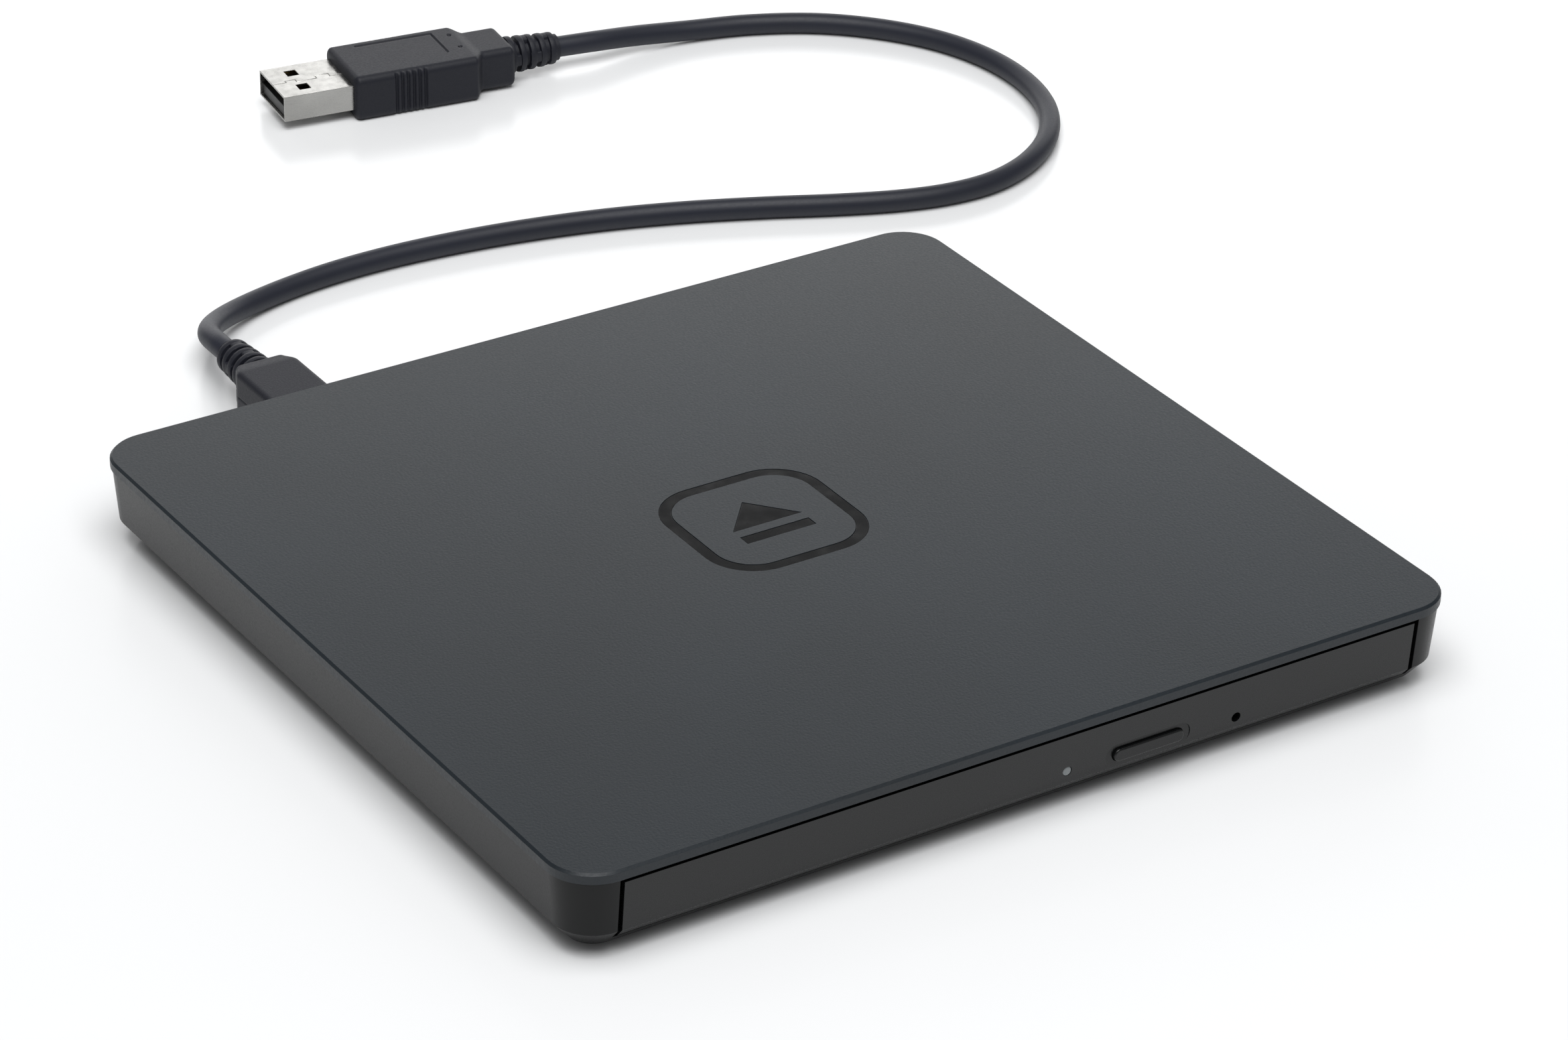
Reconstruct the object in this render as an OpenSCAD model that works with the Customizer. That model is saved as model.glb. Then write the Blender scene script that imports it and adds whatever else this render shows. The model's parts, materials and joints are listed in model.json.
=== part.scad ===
// Slim external optical drive: a two-piece housing round a tray-load disc mechanism,
// with a short USB cable. Millimetres. The origin is the bottom centre of the housing:
// the front bezel faces -Y, +X is its right-hand end and +Z is up.

/* [Housing] */
// Width of a housing corner beside the bezel opening
cheek_w = 7.2; // [6.5:0.1:12]
// Radius of the housing's corners in plan
corner_r = 7; // [5.5:0.1:9]
// Thickness of the lid
lid_t = 1.6; // [1.2:0.1:3]
// Width of the bevel round the lid's top edge
lid_edge = 0.35; // [0.1:0.05:0.6]
// Depth of the pocket under the lid
lid_pocket = 0.3; // [0.1:0.05:0.5]
// Height of the shadow line between lid and base
seam_gap = 0.2; // [0.1:0.05:0.4]
// How far the base stands in from the lid at the seam
seam_in = 0.3; // [0.1:0.05:0.6]
// How far the base stands in at the foot of its sides
side_in = 1.0; // [0.5:0.1:1.8]
// How far the underside's bevel comes in
bevel_in = 3.4; // [2:0.1:4]
// Height of the underside's bevel
bevel_h = 2.8; // [2:0.1:4]
// Thickness of the base's side walls at their foot
wall = 1.8; // [1.2:0.1:2.2]
// Thickness of the base's floor
floor_t = 1.2; // [0.9:0.1:2]
// Depth of the room behind the mechanism for the interface board
rear_room = 9.5; // [9:0.1:20]
// Width of the raised mark on the lid
mark_w = 26; // [16:1:40]
// Width of the line of the mark's frame
mark_line = 1.8; // [1.2:0.1:2.4]
// Depth of the recess that the mark sits in
mark_recess = 0.4; // [0.2:0.05:0.6]

/* [Feet and housing screws] */
// Height of the base's underside above the table
foot_h = 1.2; // [0.8:0.1:2]
// Length of a foot
foot_l = 20; // [12:1:30]
// Width of a foot
foot_w = 7; // [5:0.5:9]
// Depth of the recess that a foot is glued in
foot_recess = 0.4; // [0.2:0.05:0.6]
// Radius of a housing screw's shank
screw_r = 0.95; // [0.7:0.05:1.1]
// Radius of a housing screw's head
head_r = 1.8; // [1.4:0.05:1.9]
// Height of a housing screw's head
head_h = 1.1; // [0.8:0.1:1.4]

/* [Disc mechanism] */
// Width of the mechanism
drive_w = 128; // [126:0.5:160]
// Depth of the mechanism's metal case
drive_d = 123.6; // [122:0.2:150]
// Height of the mechanism's metal case
drive_h = 9.5; // [9.5:0.1:13]
// Thickness of the metal case
sheet = 0.5; // [0.4:0.05:0.6]
// Width of the step in the case's rear corner
notch_w = 38; // [36:0.5:44]
// Depth of the step in the case's rear corner
notch_d = 7; // [6:0.1:8]
// Diameter of the disc's recess
disc_d = 121.6; // [80:0.2:121.8]
// Distance of the disc's centre behind the bezel
disc_in = 62.1; // [62:0.1:62.4]
// How far the tray comes out
tray_travel = 126; // [80:1:130]
// Height of the disc's seat above the mechanism's bottom
seat_h = 6.5; // [6.4:0.1:6.8]

/* [Bezel and button] */
// Thickness of the bezel
bezel_t = 3.1; // [2.8:0.1:4]
// Gap between bezel and housing at each end
bezel_gap = 0.7; // [0.4:0.05:1.2]
// Height of the bezel
bezel_h = 9.1; // [8.6:0.1:9.2]
// Height of the lamp and button above the table
controls_z = 5.9; // [5.6:0.1:6.1]
// Place of the lamp to the right of the centre
lamp_x = 5.7; // [0:0.1:8]
// Radius of the lamp's window
lamp_r = 0.7; // [0.5:0.05:1]
// Place of the eject button to the right of the centre
button_x = 19.1; // [17:0.1:21]
// Length of the eject button
button_l = 11.7; // [8:0.1:13]
// Height of the eject button
button_h = 1.95; // [1.5:0.05:2.2]
// How far the button stands out of the bezel
button_proud = 0.4; // [0.1:0.05:0.6]
// Travel of the eject button
button_travel = 0.5; // [0.2:0.05:0.5]
// Place of the emergency hole to the right of the centre
pinhole_x = 34; // [32:0.1:36]
// Radius of the emergency hole
pinhole_r = 0.75; // [0.5:0.05:0.8]

/* [Spindle and pickup] */
// Radius of the hub that a disc clips on to
hub_r = 7.4; // [7:0.05:7.45]
// Height of the hub above the disc's seat
hub_h = 1.7; // [1.4:0.1:1.9]
// How far a sprung pawl stands out of the hub
pawl_out = 0.2; // [0.1:0.05:0.25]
// Radius of the turntable under the disc
turntable_r = 13; // [11:0.1:13.4]
// Radius of the spindle's shaft
shaft_r = 1.5; // [1:0.1:2]
// Direction in which the pickup runs, from +X
sled_angle = 225; // [220:1:230]
// Distance from spindle to lens with the pickup in
lens_in = 24; // [23:0.1:25]
// Travel of the pickup
sled_travel = 33; // [20:0.5:33]
// Radius of the pickup's guide rods
guide_r = 1; // [0.7:0.05:1.1]
// Distance of each guide rod from the pickup's centre line
guide_v = 13; // [12.8:0.1:13.2]

/* [Cable] */
// Distance of the USB socket's middle from the inner edge of the case's step
port_in = 9; // [6:0.5:14]
// Diameter of the cord
cord_d = 3.6; // [3:0.1:4]
// Width of the rear plug's grip
rear_grip_w = 10.5; // [9:0.1:12]
// Height of the rear plug's grip
rear_grip_h = 7.2; // [6:0.1:8]
// Length of the rear plug's grip
rear_grip_l = 19; // [14:0.5:24]
// Width of the USB-A plug's metal shell
usb_w = 12; // [11.8:0.05:12.2]
// Height of the USB-A plug's metal shell
usb_h = 4.5; // [4.4:0.05:4.6]
// Length of the USB-A plug's metal shell outside its grip
usb_l = 12.5; // [11:0.1:13]
// Width of the USB-A plug's grip
grip_w = 15; // [13.5:0.1:17]
// Height of the USB-A plug's grip
grip_h = 8; // [7:0.1:9]
// Length of the USB-A plug's grip
grip_l = 30; // [24:0.5:36]
// Length of a strain relief
relief_l = 9.5; // [8:0.1:14]
// Diameter of a strain relief at its thick end
relief_d = 6.6; // [5.6:0.1:7]

/* [Clearances] */
// Radial clearance of a shaft in its bearing
run = 0.05; // [0.02:0.01:0.1]
// Clearance of a sliding part on each side
slip = 0.1; // [0.05:0.01:0.15]
// Clearance round a part that is glued or snapped in
fit = 0.05; // [0.02:0.01:0.1]

/* [Hidden] */
$fn = 64;

// Heights, from the table up
floor_z = foot_h + floor_t;
pan_z = floor_z + slip;
case_top = pan_z + drive_h;
rim_z = case_top + 0.4;
body_h = rim_z + lid_t;
side_z = foot_h + bevel_h;
wall_top = rim_z - seam_gap;
pan_floor = pan_z + 0.6;
cover_under = case_top - sheet;
tray_under = pan_z + 1.7;
plate_z = pan_z + 5.1;
plate_t = 0.8;
seat_z = pan_z + seat_h;
deck_z = seat_z + 1.6;
rod_z = pan_z + 3.6;

// Plan sizes
bezel_w = drive_w + 0.2;
opening_w = bezel_w + 2 * bezel_gap;
body_w = opening_w + 2 * cheek_w;
front_room = 3.9;
body_d = front_room + drive_d + rear_room;
front_y = -body_d / 2;
rear_y = body_d / 2;
cav_in = side_in + wall;
low_in = cav_in + 1.8;
low_h = 1;
lip_t = 1;
lip_in = cav_in + slip;
lip_h = 1.4;
boss_x = body_w / 2 - 5.7;
boss_y = body_d / 2 - 13.5;
boss_r = 2.2;
foot_x = body_w / 2 - 20;
foot_y = body_d / 2 - 12.5;
pan_y0 = front_y + front_room;
pan_y1 = pan_y0 + drive_d;
pan_hw = drive_w / 2 - sheet - slip;
step_x = notch_w - drive_w / 2;
port_x = step_x - port_in;
step_y = pan_y1 - notch_d;
bezel_back = front_y + seam_in + bezel_t;

// Tray and rails
tray_hw = pan_hw - 2.2;
tray_y0 = bezel_back;
disc_r = disc_d / 2;
disc_y = tray_y0 + disc_in;
tray_y1 = disc_y + 49;
skirt = 1.6;
groove = 0.8;
rail_hold = 37;
rail_l = tray_travel / 2 + rail_hold;
rail_t = 1.65;
rail_h = 3.6;
rail_z = pan_z + 2.4;
rail_y0 = tray_y0 + 6;
rail_x = tray_hw - groove + slip;
post_x = tray_hw - 3.2;
post_y = tray_y0 + 19;
post_r = 1.2;
lever_x = post_x - 9;
lever_y = post_y - 10;
latch_swing = 15;
ejector_x = -tray_hw + 6;
ejector_z = pan_z + 3.8;
cover_hw = post_x - 2;
light_y1 = tray_y0 + 1.3;

// Pickup and spindle, with U along the pickup's run and V across it
sled_end = lens_in + 4.8;
guide_u0 = 7;
guide_u1 = lens_in + sled_travel + 6.2;
screw_v = 17.6;
lead_r = 0.9;
motor_l = 9.5;
plate_v = 20;
traverse_z = pan_z + 1.95;
window_v = 15.4;
rotor_r = 12.4;
bearing_r = 3.4;

// Hub's pawls, from the disc's seat up
pawl_in = 3.6;
pawl_w = 3;
pawl_h = 0.5;
pawl_z = hub_h - 0.9;

// Boards and the flat cable between them
main_t = 0.8;
bridge_t = 1;
main_z = pan_z + 1.5;
main_y0 = pan_y1 - 9.4;
bridge_z = floor_z + 1.15;
bridge_top = bridge_z + bridge_t;
board_z = tray_under + 0.4;
board_top = board_z + main_t;
ribbon_t = 0.12;
ribbon_x0 = 30;
ribbon_w = 12;
ribbon_low = pan_floor + 0.05;
ribbon_high = tray_under - 0.05 - ribbon_t;
fold_y = disc_y - 17;

// Latch lever and its coil
lever_z = tray_under + 0.7;
hook_y = post_y - lever_y + post_r + 0.15;
hook_x = post_x - lever_x + 0.9;
coil_x = lever_x - 13.5;
coil_z = tray_under + 1.8;

// Cable
shell_t = 0.3;
seam_w = 0.14;
port_z = pan_z + 4;
socket_w = 7.7;
socket_h = 3.9;
rear_face = rear_y - side_in + 0.2;
grip_y = rear_y + 0.1;
relief_r = relief_d / 2;
cord_r = cord_d / 2;
rear_relief_y = grip_y + rear_grip_l;
plug_angle = 172.5;
cord_start = [port_x, rear_relief_y + relief_l, 0];
plug_at = cord_start + [64.2, 82.8, 4];
cord_sides = 8;
// Chosen route of the cord's centre line, from the rear plug to the USB-A plug, from cord_start
RUN = [
    [0, 0, 6.5], [0, 3.9, 6.4], [1.2, 9.4, 5.4], [5.4, 15.3, 3.6], [12.4, 20.1, 2.3],
    [22, 23.3, 1.8], [32, 24.7, 1.8], [43, 24.9, 1.8], [55, 23.9, 1.8], [67, 21.9, 1.8],
    [79, 18.9, 1.8], [91, 14.8, 1.8], [103, 9.7, 1.8], [114, 4.5, 1.8], [124, 0.5, 1.8],
    [133, -1.5, 1.8], [142, -1.1, 1.8], [151, 2.5, 1.8], [159, 8.9, 1.8], [165, 17.9, 1.8],
    [168, 28.4, 1.8], [168, 39.4, 1.8], [165, 49.9, 1.8], [159, 59.4, 1.8], [150.5, 67.4, 1.8],
    [140, 72.9, 1.8], [129, 75.8, 2], [119, 76.8, 2.9], [110.5, 76.7, 3.8], [103.4, 77.6, 4]
];
ROUTE = [for (p = RUN) cord_start + p];

// A rounded slab standing on z = 0, centred in plan
module slab(w, d, h, r) {
    translate([-w / 2 + r, -d / 2, 0]) cube([w - 2 * r, d, h]);
    translate([-w / 2, -d / 2 + r, 0]) cube([w, d - 2 * r, h]);
    for (x = [-1, 1], y = [-1, 1])
        translate([x * (w / 2 - r), y * (d / 2 - r), 0]) cylinder(h = h, r = r);
}

// A slab whose sides lean, from in0 inside its outline at the foot to in1 at the top
module leaning_slab(w, d, h, r, in0, in1) {
    translate([-w / 2 + r, 0, 0]) rotate([90, 0, 90]) linear_extrude(w - 2 * r)
        polygon([[-d / 2 + in0, 0], [d / 2 - in0, 0], [d / 2 - in1, h], [-d / 2 + in1, h]]);
    translate([0, d / 2 - r, 0]) rotate([90, 0, 0]) linear_extrude(d - 2 * r)
        polygon([[-w / 2 + in0, 0], [w / 2 - in0, 0], [w / 2 - in1, h], [-w / 2 + in1, h]]);
    for (x = [-1, 1], y = [-1, 1])
        translate([x * (w / 2 - r), y * (d / 2 - r), 0]) cylinder(h = h, r1 = r - in0, r2 = r - in1);
}

// A box from its lowest corner to its highest
module block(a, b) {
    translate(a) cube(b - a);
}

// A cylinder along +Y that starts at p
module along_y(p, r, l) {
    translate(p) rotate([-90, 0, 0]) cylinder(h = l, r = r);
}

// A bar along +Y with round ends across X, centred on x = 0 and z = 0
module pill_y(w, h, l) {
    translate([-w / 2 + h / 2, 0, -h / 2]) cube([w - h, l, h]);
    for (s = [-1, 1]) along_y([s * (w - h) / 2, 0, 0], h / 2, l);
}

// Puts children in the pickup's own directions: +X is its run, the origin is the spindle
module on_sled_line() {
    translate([0, disc_y, 0]) rotate([0, 0, sled_angle]) children();
}

// A screw standing head down at z = 0, with a cross slot in its head
module screw(head, head_height, shank, length) {
    difference() {
        union() {
            cylinder(h = head_height, r = head);
            cylinder(h = head_height + length, r = shank);
        }
        for (a = [0, 90]) rotate([0, 0, a]) translate([-head * 0.6, -0.2, -1]) cube([head * 1.2, 0.4, 1.5]);
    }
}

// ---- Housing ----

// The mark's outline: a rounded frame round a triangle over a bar
module mark_frame(grow) {
    outer = mark_w + 2 * grow;
    inner = mark_w - 2 * mark_line - 2 * grow;
    difference() {
        slab(outer, outer, 1, mark_w * 0.3 + grow);
        translate([0, 0, -1]) slab(inner, inner, 3, mark_w * 0.3 - mark_line - grow);
    }
}

module mark_sign(grow) {
    tri = mark_w * 0.22;
    linear_extrude(1) polygon([
        [-tri - 1.6 * grow, -grow - 1], [tri + 1.6 * grow, -grow - 1], [0, tri + 1.6 * grow]
    ]);
    translate([-tri - grow, -tri * 0.75 - grow - 0.6, 0]) cube([2 * tri + 2 * grow, 2 + 2 * grow, 1]);
}

module lid() {
    color("#33383b") difference() {
        union() {
            difference() {
                translate([0, 0, rim_z]) {
                    slab(body_w, body_d, lid_t - lid_edge, corner_r);
                    translate([0, 0, lid_t - lid_edge])
                        leaning_slab(body_w, body_d, lid_edge, corner_r, 0, lid_edge);
                }
                translate([0, 0, rim_z - 1])
                    slab(body_w - 2 * lip_in - 2 * lip_t, body_d - 2 * lip_in - 2 * lip_t, 1 + lid_pocket, 3);
            }
            difference() {
                translate([0, 0, rim_z - lip_h])
                    slab(body_w - 2 * lip_in, body_d - 2 * lip_in, lip_h, corner_r - lip_in);
                translate([0, 0, rim_z - lip_h - 1])
                    slab(body_w - 2 * lip_in - 2 * lip_t, body_d - 2 * lip_in - 2 * lip_t, lip_h + 2, 2.5);
                block([-opening_w / 2 - 1, front_y, rim_z - lip_h - 1],
                    [opening_w / 2 + 1, front_y + corner_r + 2, rim_z]);
            }
            for (x = [-1, 1], y = [-1, 1]) translate([x * boss_x, y * boss_y, floor_z + 3.4])
                cylinder(h = rim_z + lid_pocket - floor_z - 3.4, r = boss_r);
        }
        translate([0, 0, body_h - mark_recess]) {
            mark_frame(fit);
            mark_sign(fit);
        }
        for (x = [-1, 1], y = [-1, 1])
            translate([x * boss_x, y * boss_y, floor_z + 2]) cylinder(h = 6, r = screw_r + run);
    }
}

module lid_mark() {
    color("#08090a") intersection() {
        translate([0, 0, body_h - mark_recess]) {
            mark_frame(0);
            mark_sign(0);
        }
        block([-mark_w, -mark_w, body_h - mark_recess], [mark_w, mark_w, body_h - 0.05]);
    }
}

module base_shell() {
    color("#1b1d1f") difference() {
        union() {
            difference() {
                union() {
                    translate([0, 0, foot_h])
                        leaning_slab(body_w, body_d, bevel_h, corner_r, bevel_in, side_in);
                    translate([0, 0, side_z])
                        leaning_slab(body_w, body_d, wall_top - side_z, corner_r, side_in, seam_in);
                }
                translate([0, 0, floor_z]) slab(body_w - 2 * low_in, body_d - 2 * low_in, body_h, 2);
                translate([0, 0, floor_z + low_h])
                    slab(body_w - 2 * cav_in, body_d - 2 * cav_in, body_h, corner_r - cav_in);
                block([-opening_w / 2, front_y - 1, floor_z], [opening_w / 2, front_y + low_in + 1, body_h]);
            }
            for (x = [-1, 1], y = [-1, 1]) translate([x * boss_x, y * boss_y, foot_h])
                cylinder(h = floor_z + 3.4 - fit - foot_h, r = boss_r);
            // Ribs that hold the mechanism sideways
            for (s = [-1, 1], y = [-30, 0, 30])
                block([s * (drive_w / 2 + slip + 1.7) - 1.7, y - 1, foot_h + 0.5],
                    [s * (drive_w / 2 + slip + 1.7) + 1.7, y + 1, floor_z + 5]);
            for (p = board_posts()) translate([p[0], p[1], floor_z - 0.2]) {
                cylinder(h = 1.35, r = 1.8);
                cylinder(h = 2.9, r = 0.9);
            }
        }
        // Port for the USB socket
        block([port_x - socket_w / 2 - 0.2, rear_y - 5, port_z - socket_h / 2 - 0.2],
            [port_x + socket_w / 2 + 0.2, rear_y + 1, port_z + socket_h / 2 + 0.2]);
        for (x = [-1, 1], y = [-1, 1]) {
            translate([x * boss_x, y * boss_y, 0]) cylinder(h = 12, r = screw_r + 0.15);
            translate([x * boss_x, y * boss_y, 0]) cylinder(h = foot_h + head_h + 0.3, r = head_r + 0.1);
            translate([x * foot_x, y * foot_y, 0])
                slab(foot_l + 2 * fit, foot_w + 2 * fit, foot_h + foot_recess, foot_w / 2 - 0.1);
        }
    }
}

module feet() {
    color("#111213") for (x = [-1, 1], y = [-1, 1])
        translate([x * foot_x, y * foot_y, 0]) slab(foot_l, foot_w, foot_h + foot_recess, foot_w / 2 - 0.1);
}

module housing_screws() {
    color("#8e9194") for (x = [-1, 1], y = [-1, 1])
        translate([x * boss_x, y * boss_y, foot_h + 0.3]) screw(head_r, head_h, screw_r, 7);
}

// ---- Metal case of the mechanism ----

// Outline of the case, i inside its outer face, with the step at the rear-left
module case_outline(i) {
    hw = drive_w / 2 - i;
    polygon([
        [-hw, pan_y0], [hw, pan_y0], [hw, pan_y1 - i], [step_x + i, pan_y1 - i],
        [step_x + i, step_y - i], [-hw, step_y - i]
    ]);
}

// Places of the bosses that the cover is screwed to
function case_bosses() = [
    [-drive_w / 2 + 6, step_y - 2.8], [24, pan_y1 - 2.8], [drive_w / 2 - 6, pan_y1 - 2.8]
];

module drive_pan() {
    wall_in = sheet + slip;
    color("#a9adb0") difference() {
        union() {
            difference() {
                translate([0, 0, pan_z]) linear_extrude(cover_under - pan_z - fit) case_outline(wall_in);
                translate([0, 0, pan_floor]) linear_extrude(drive_h) case_outline(wall_in + sheet);
                block([-pan_hw + sheet, pan_y0 - 1, pan_floor], [pan_hw - sheet, pan_y0 + 1, case_top]);
            }
            for (p = case_bosses()) translate([p[0], p[1], pan_z])
                cylinder(h = cover_under - pan_z - fit, r = 1.6);
        }
        for (p = case_bosses()) translate([p[0], p[1], pan_floor + 2]) cylinder(h = drive_h, r = 0.75);
        // Window for the data connector
        block([-19, pan_y1 - 2, pan_floor], [9, pan_y1 + 1, pan_z + 6.6]);
        translate([post_x, post_y, 0]) cylinder(h = pan_floor + 1, r = post_r - 0.2);
    }
}

module drive_cover() {
    color("#b4b8bb") difference() {
        union() {
            translate([0, 0, cover_under]) linear_extrude(sheet) case_outline(0);
            translate([0, disc_y, case_top]) cylinder(h = 0.2, r = 20);
            difference() {
                translate([0, 0, pan_z + 5]) linear_extrude(cover_under - pan_z - 5) case_outline(0);
                translate([0, 0, pan_z]) linear_extrude(drive_h) case_outline(sheet);
                block([-drive_w, pan_y0 - 1, pan_z], [drive_w, pan_y0 + 1, cover_under]);
                block([-30, pan_y1 - 2, pan_z], [20, pan_y1 + 1, pan_z + 7]);
            }
        }
        translate([0, disc_y, pan_z]) cylinder(h = drive_h - sheet + 0.2, r = 19.5);
        for (p = case_bosses()) translate([p[0], p[1], pan_z]) cylinder(h = 2 * drive_h, r = 0.9);
    }
}

module rail_guides() {
    lip_z = rail_z - slip;
    color("#c9ccce") for (s = [0, 1]) mirror([s, 0, 0]) difference() {
        block([tray_hw + 0.1, rail_y0 - 2, lip_z - 0.5],
            [pan_hw - sheet, rail_y0 + rail_l + 2, lip_z + rail_h + 2 * slip + 0.5]);
        block([tray_hw - 1, rail_y0 - 3, lip_z],
            [rail_x + rail_t + slip, rail_y0 + rail_l + 3, lip_z + rail_h + 2 * slip]);
    }
}

module cover_screws() {
    color("#8e9194") for (p = case_bosses())
        translate([p[0], p[1], case_top + 0.3]) rotate([180, 0, 0]) screw(1.5, 0.3, 0.7, 3.6);
}

module latch_post() {
    color("#d0d2d4") translate([post_x, post_y, pan_z]) {
        cylinder(h = 3.6, r = post_r - 0.2);
        translate([0, 0, pan_floor - pan_z]) cylinder(h = 3, r = post_r);
    }
}

// ---- Boards in the housing ----

// Places of the posts that the interface board is heat-staked on
function board_posts() = [[-drive_w / 2 + 5, step_y + 9], [10, pan_y1 + 3.6]];

module main_board() {
    color("#1f5a3a") difference() {
        union() {
            block([-22, main_y0, main_z], [46, pan_y1 - 1.3, main_z + main_t]);
            for (x = [-20, 44], y = [main_y0 + 1.5, pan_y1 - 2.8])
                translate([x, y, pan_floor]) cylinder(h = main_z - pan_floor, r = 1);
        }
        for (p = case_bosses()) translate([p[0], p[1], 0]) cylinder(h = 20, r = 1.8);
    }
}

// Socket under the main board that takes the flat cable's fixed end
module rear_ribbon_socket() {
    color("#d9d3c4") difference() {
        block([ribbon_x0 - 1, pan_y1 - 6, pan_floor], [ribbon_x0 + ribbon_w + 1, pan_y1 - 2.4, main_z]);
        block([ribbon_x0 - fit, pan_y1 - 7, pan_floor],
            [ribbon_x0 + ribbon_w + fit, pan_y1 - 4, pan_floor + 0.3]);
    }
}

module sata_plug() {
    z0 = main_z + main_t;
    color("#141516") difference() {
        block([-18, pan_y1 - 4.8, z0], [8, pan_y1 + 0.5, z0 + 3.6]);
        block([-17, pan_y1 - 1.6, z0 + 0.7], [7, pan_y1 + 1, z0 + 2.9]);
    }
    color("#141516") block([-16, pan_y1 - 2, z0 + 1.4], [6, pan_y1 + 0.3, z0 + 2.2]);
}

module sata_socket() {
    color("#1a1b1d") block([-18, pan_y1 + 0.6, bridge_top], [8, pan_y1 + 5.8, main_z + 4.4]);
}

module bridge_board() {
    color("#17402a") difference() {
        translate([0, 0, bridge_z]) linear_extrude(bridge_t) polygon([
            [-drive_w / 2 + 2, step_y + 0.9], [step_x - 1, step_y + 0.9], [step_x - 1, pan_y1 + 0.9],
            [12, pan_y1 + 0.9], [12, pan_y1 + 6.2], [-drive_w / 2 + 2, pan_y1 + 6.2]
        ]);
        for (p = board_posts()) translate([p[0], p[1], 0]) cylinder(h = 10, r = 0.9 + run);
    }
}

module bridge_chips() {
    color("#101112") translate([-drive_w / 2 + 10, step_y + 4, bridge_top]) {
        cube([7, 7, 0.9]);
        translate([9, 0, 0]) cube([3.2, 2.5, 1]);
        for (i = [0:2]) translate([9 + 1.8 * i, 4.6, 0]) cube([1, 1.8, 0.8]);
    }
}

module usb_socket() {
    y0 = rear_face - 9;
    color("#c3c5c6") difference() {
        block([port_x - socket_w / 2, y0, port_z - socket_h / 2],
            [port_x + socket_w / 2, rear_face - 0.1, port_z + socket_h / 2]);
        block([port_x - socket_w / 2 + 0.4, y0 + 1, port_z - socket_h / 2 + 0.4],
            [port_x + socket_w / 2 - 0.4, rear_face + 1, port_z + socket_h / 2 - 0.4]);
    }
    color("#101010") block([port_x - 2.4, y0 + 1, port_z - 0.4], [port_x + 2.4, y0 + 6.5, port_z + 0.4]);
}

// ---- Tray ----

module tray() {
    inner = tray_hw - skirt;
    color("#26282a") difference() {
        block([-tray_hw, tray_y0, tray_under], [tray_hw, tray_y1, deck_z]);
        // Disc recess
        translate([0, disc_y, plate_z + plate_t]) cylinder(h = 5, r = disc_r);
        // Hollow underside
        block([-inner, tray_y0 + 1.2, tray_under - 1], [inner, tray_y1 - 1.5, plate_z]);
        // Path of the latch post and of the ribbon through the rear skirt
        block([post_x - 1.7, 0, tray_under - 1], [post_x + 1.5, tray_y1 + 1, plate_z - 0.6]);
        block([28, tray_y1 - 3, tray_under - 1], [44, tray_y1 + 1, plate_z - 0.6]);
        // Grooves for the rails
        for (s = [0, 1]) mirror([s, 0, 0])
            block([tray_hw - groove, tray_y0 + 4, rail_z - slip],
                [tray_hw + 1, tray_y1 + 1, rail_z + rail_h + slip]);
        // Hub hole and pickup window
        translate([0, disc_y, plate_z - 1]) cylinder(h = 3, r = turntable_r + 1.4);
        on_sled_line() {
            translate([0, -11, plate_z - 1]) cube([guide_u1 - 1, 22, 3]);
        }
        along_y([ejector_x, tray_y1 - 3, ejector_z], 1.1 + slip, 6);
        // Lamp, button and emergency holes
        along_y([lamp_x, tray_y0 - 1, controls_z], lamp_r + slip, 4);
        along_y([button_x, tray_y0 - 1, controls_z], 1.5, 4);
        along_y([pinhole_x, tray_y0 - 1, controls_z - 0.3], pinhole_r + 0.3, 4);
    }
    // Posts that the traverse and the tray cover are fixed to
    color("#26282a") difference() {
        union() {
            for (p = traverse_posts()) on_sled_line() translate([p[0], p[1], traverse_z + 0.6])
                cylinder(h = plate_z - traverse_z - 0.6 + 0.2, r = 1.4);
            for (p = cover_posts()) translate([p[0], p[1], tray_under + 0.35])
                cylinder(h = plate_z - tray_under, r = 1.7);
            // Pin that the latch lever turns on
            translate([lever_x, lever_y, tray_under + 0.35]) cylinder(h = plate_z - tray_under, r = 1);
            // Guide of the ejector
            block([ejector_x - 2.2, tray_y1 - 18, ejector_z - 1.5],
                [ejector_x + 2.2, tray_y1 - 12, plate_z + 0.2]);
        }
        along_y([ejector_x, tray_y1 - 20, ejector_z], 1.1 + run, 22);
        for (p = cover_posts()) translate([p[0], p[1], tray_under]) cylinder(h = 3, r = 0.75);
        for (p = traverse_posts()) on_sled_line() translate([p[0], p[1], 0])
            cylinder(h = plate_z - 0.3, r = 0.6);
    }
}

function traverse_posts() = [[-11.5, -17], [-11.5, 17], [40, -plate_v - 2.5]];
function cover_posts() = [[lever_x - 5, lever_y + 17.6], [cover_hw - 3, tray_y1 - 5],
    [-20, tray_y0 + 3.5], [-cover_hw + 6, tray_y1 - 5]];

module tray_cover() {
    color("#aab0b4") difference() {
        block([-tray_hw + skirt + slip, tray_y0 + 1.3, tray_under],
            [cover_hw, tray_y1 - 1.6, tray_under + 0.3]);
        for (p = cover_posts()) translate([p[0], p[1], 0]) cylinder(h = 30, r = 0.85);
        // Room for the traverse, its ears and the motor
        on_sled_line() {
            translate([-14, -plate_v - 0.6, 0]) cube([tray_hw * 3, 2 * plate_v + 1.2, 30]);
            cylinder(h = 30, r = rotor_r + 2.6);
            for (p = traverse_posts()) translate([p[0], p[1], 0]) cylinder(h = 30, r = 3.6);
        }
    }
}

module tray_screws() {
    color("#8e9194") for (p = cover_posts())
        translate([p[0], p[1], tray_under - 0.3]) screw(1.5, 0.3, 0.7, 2.6);
}

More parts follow.
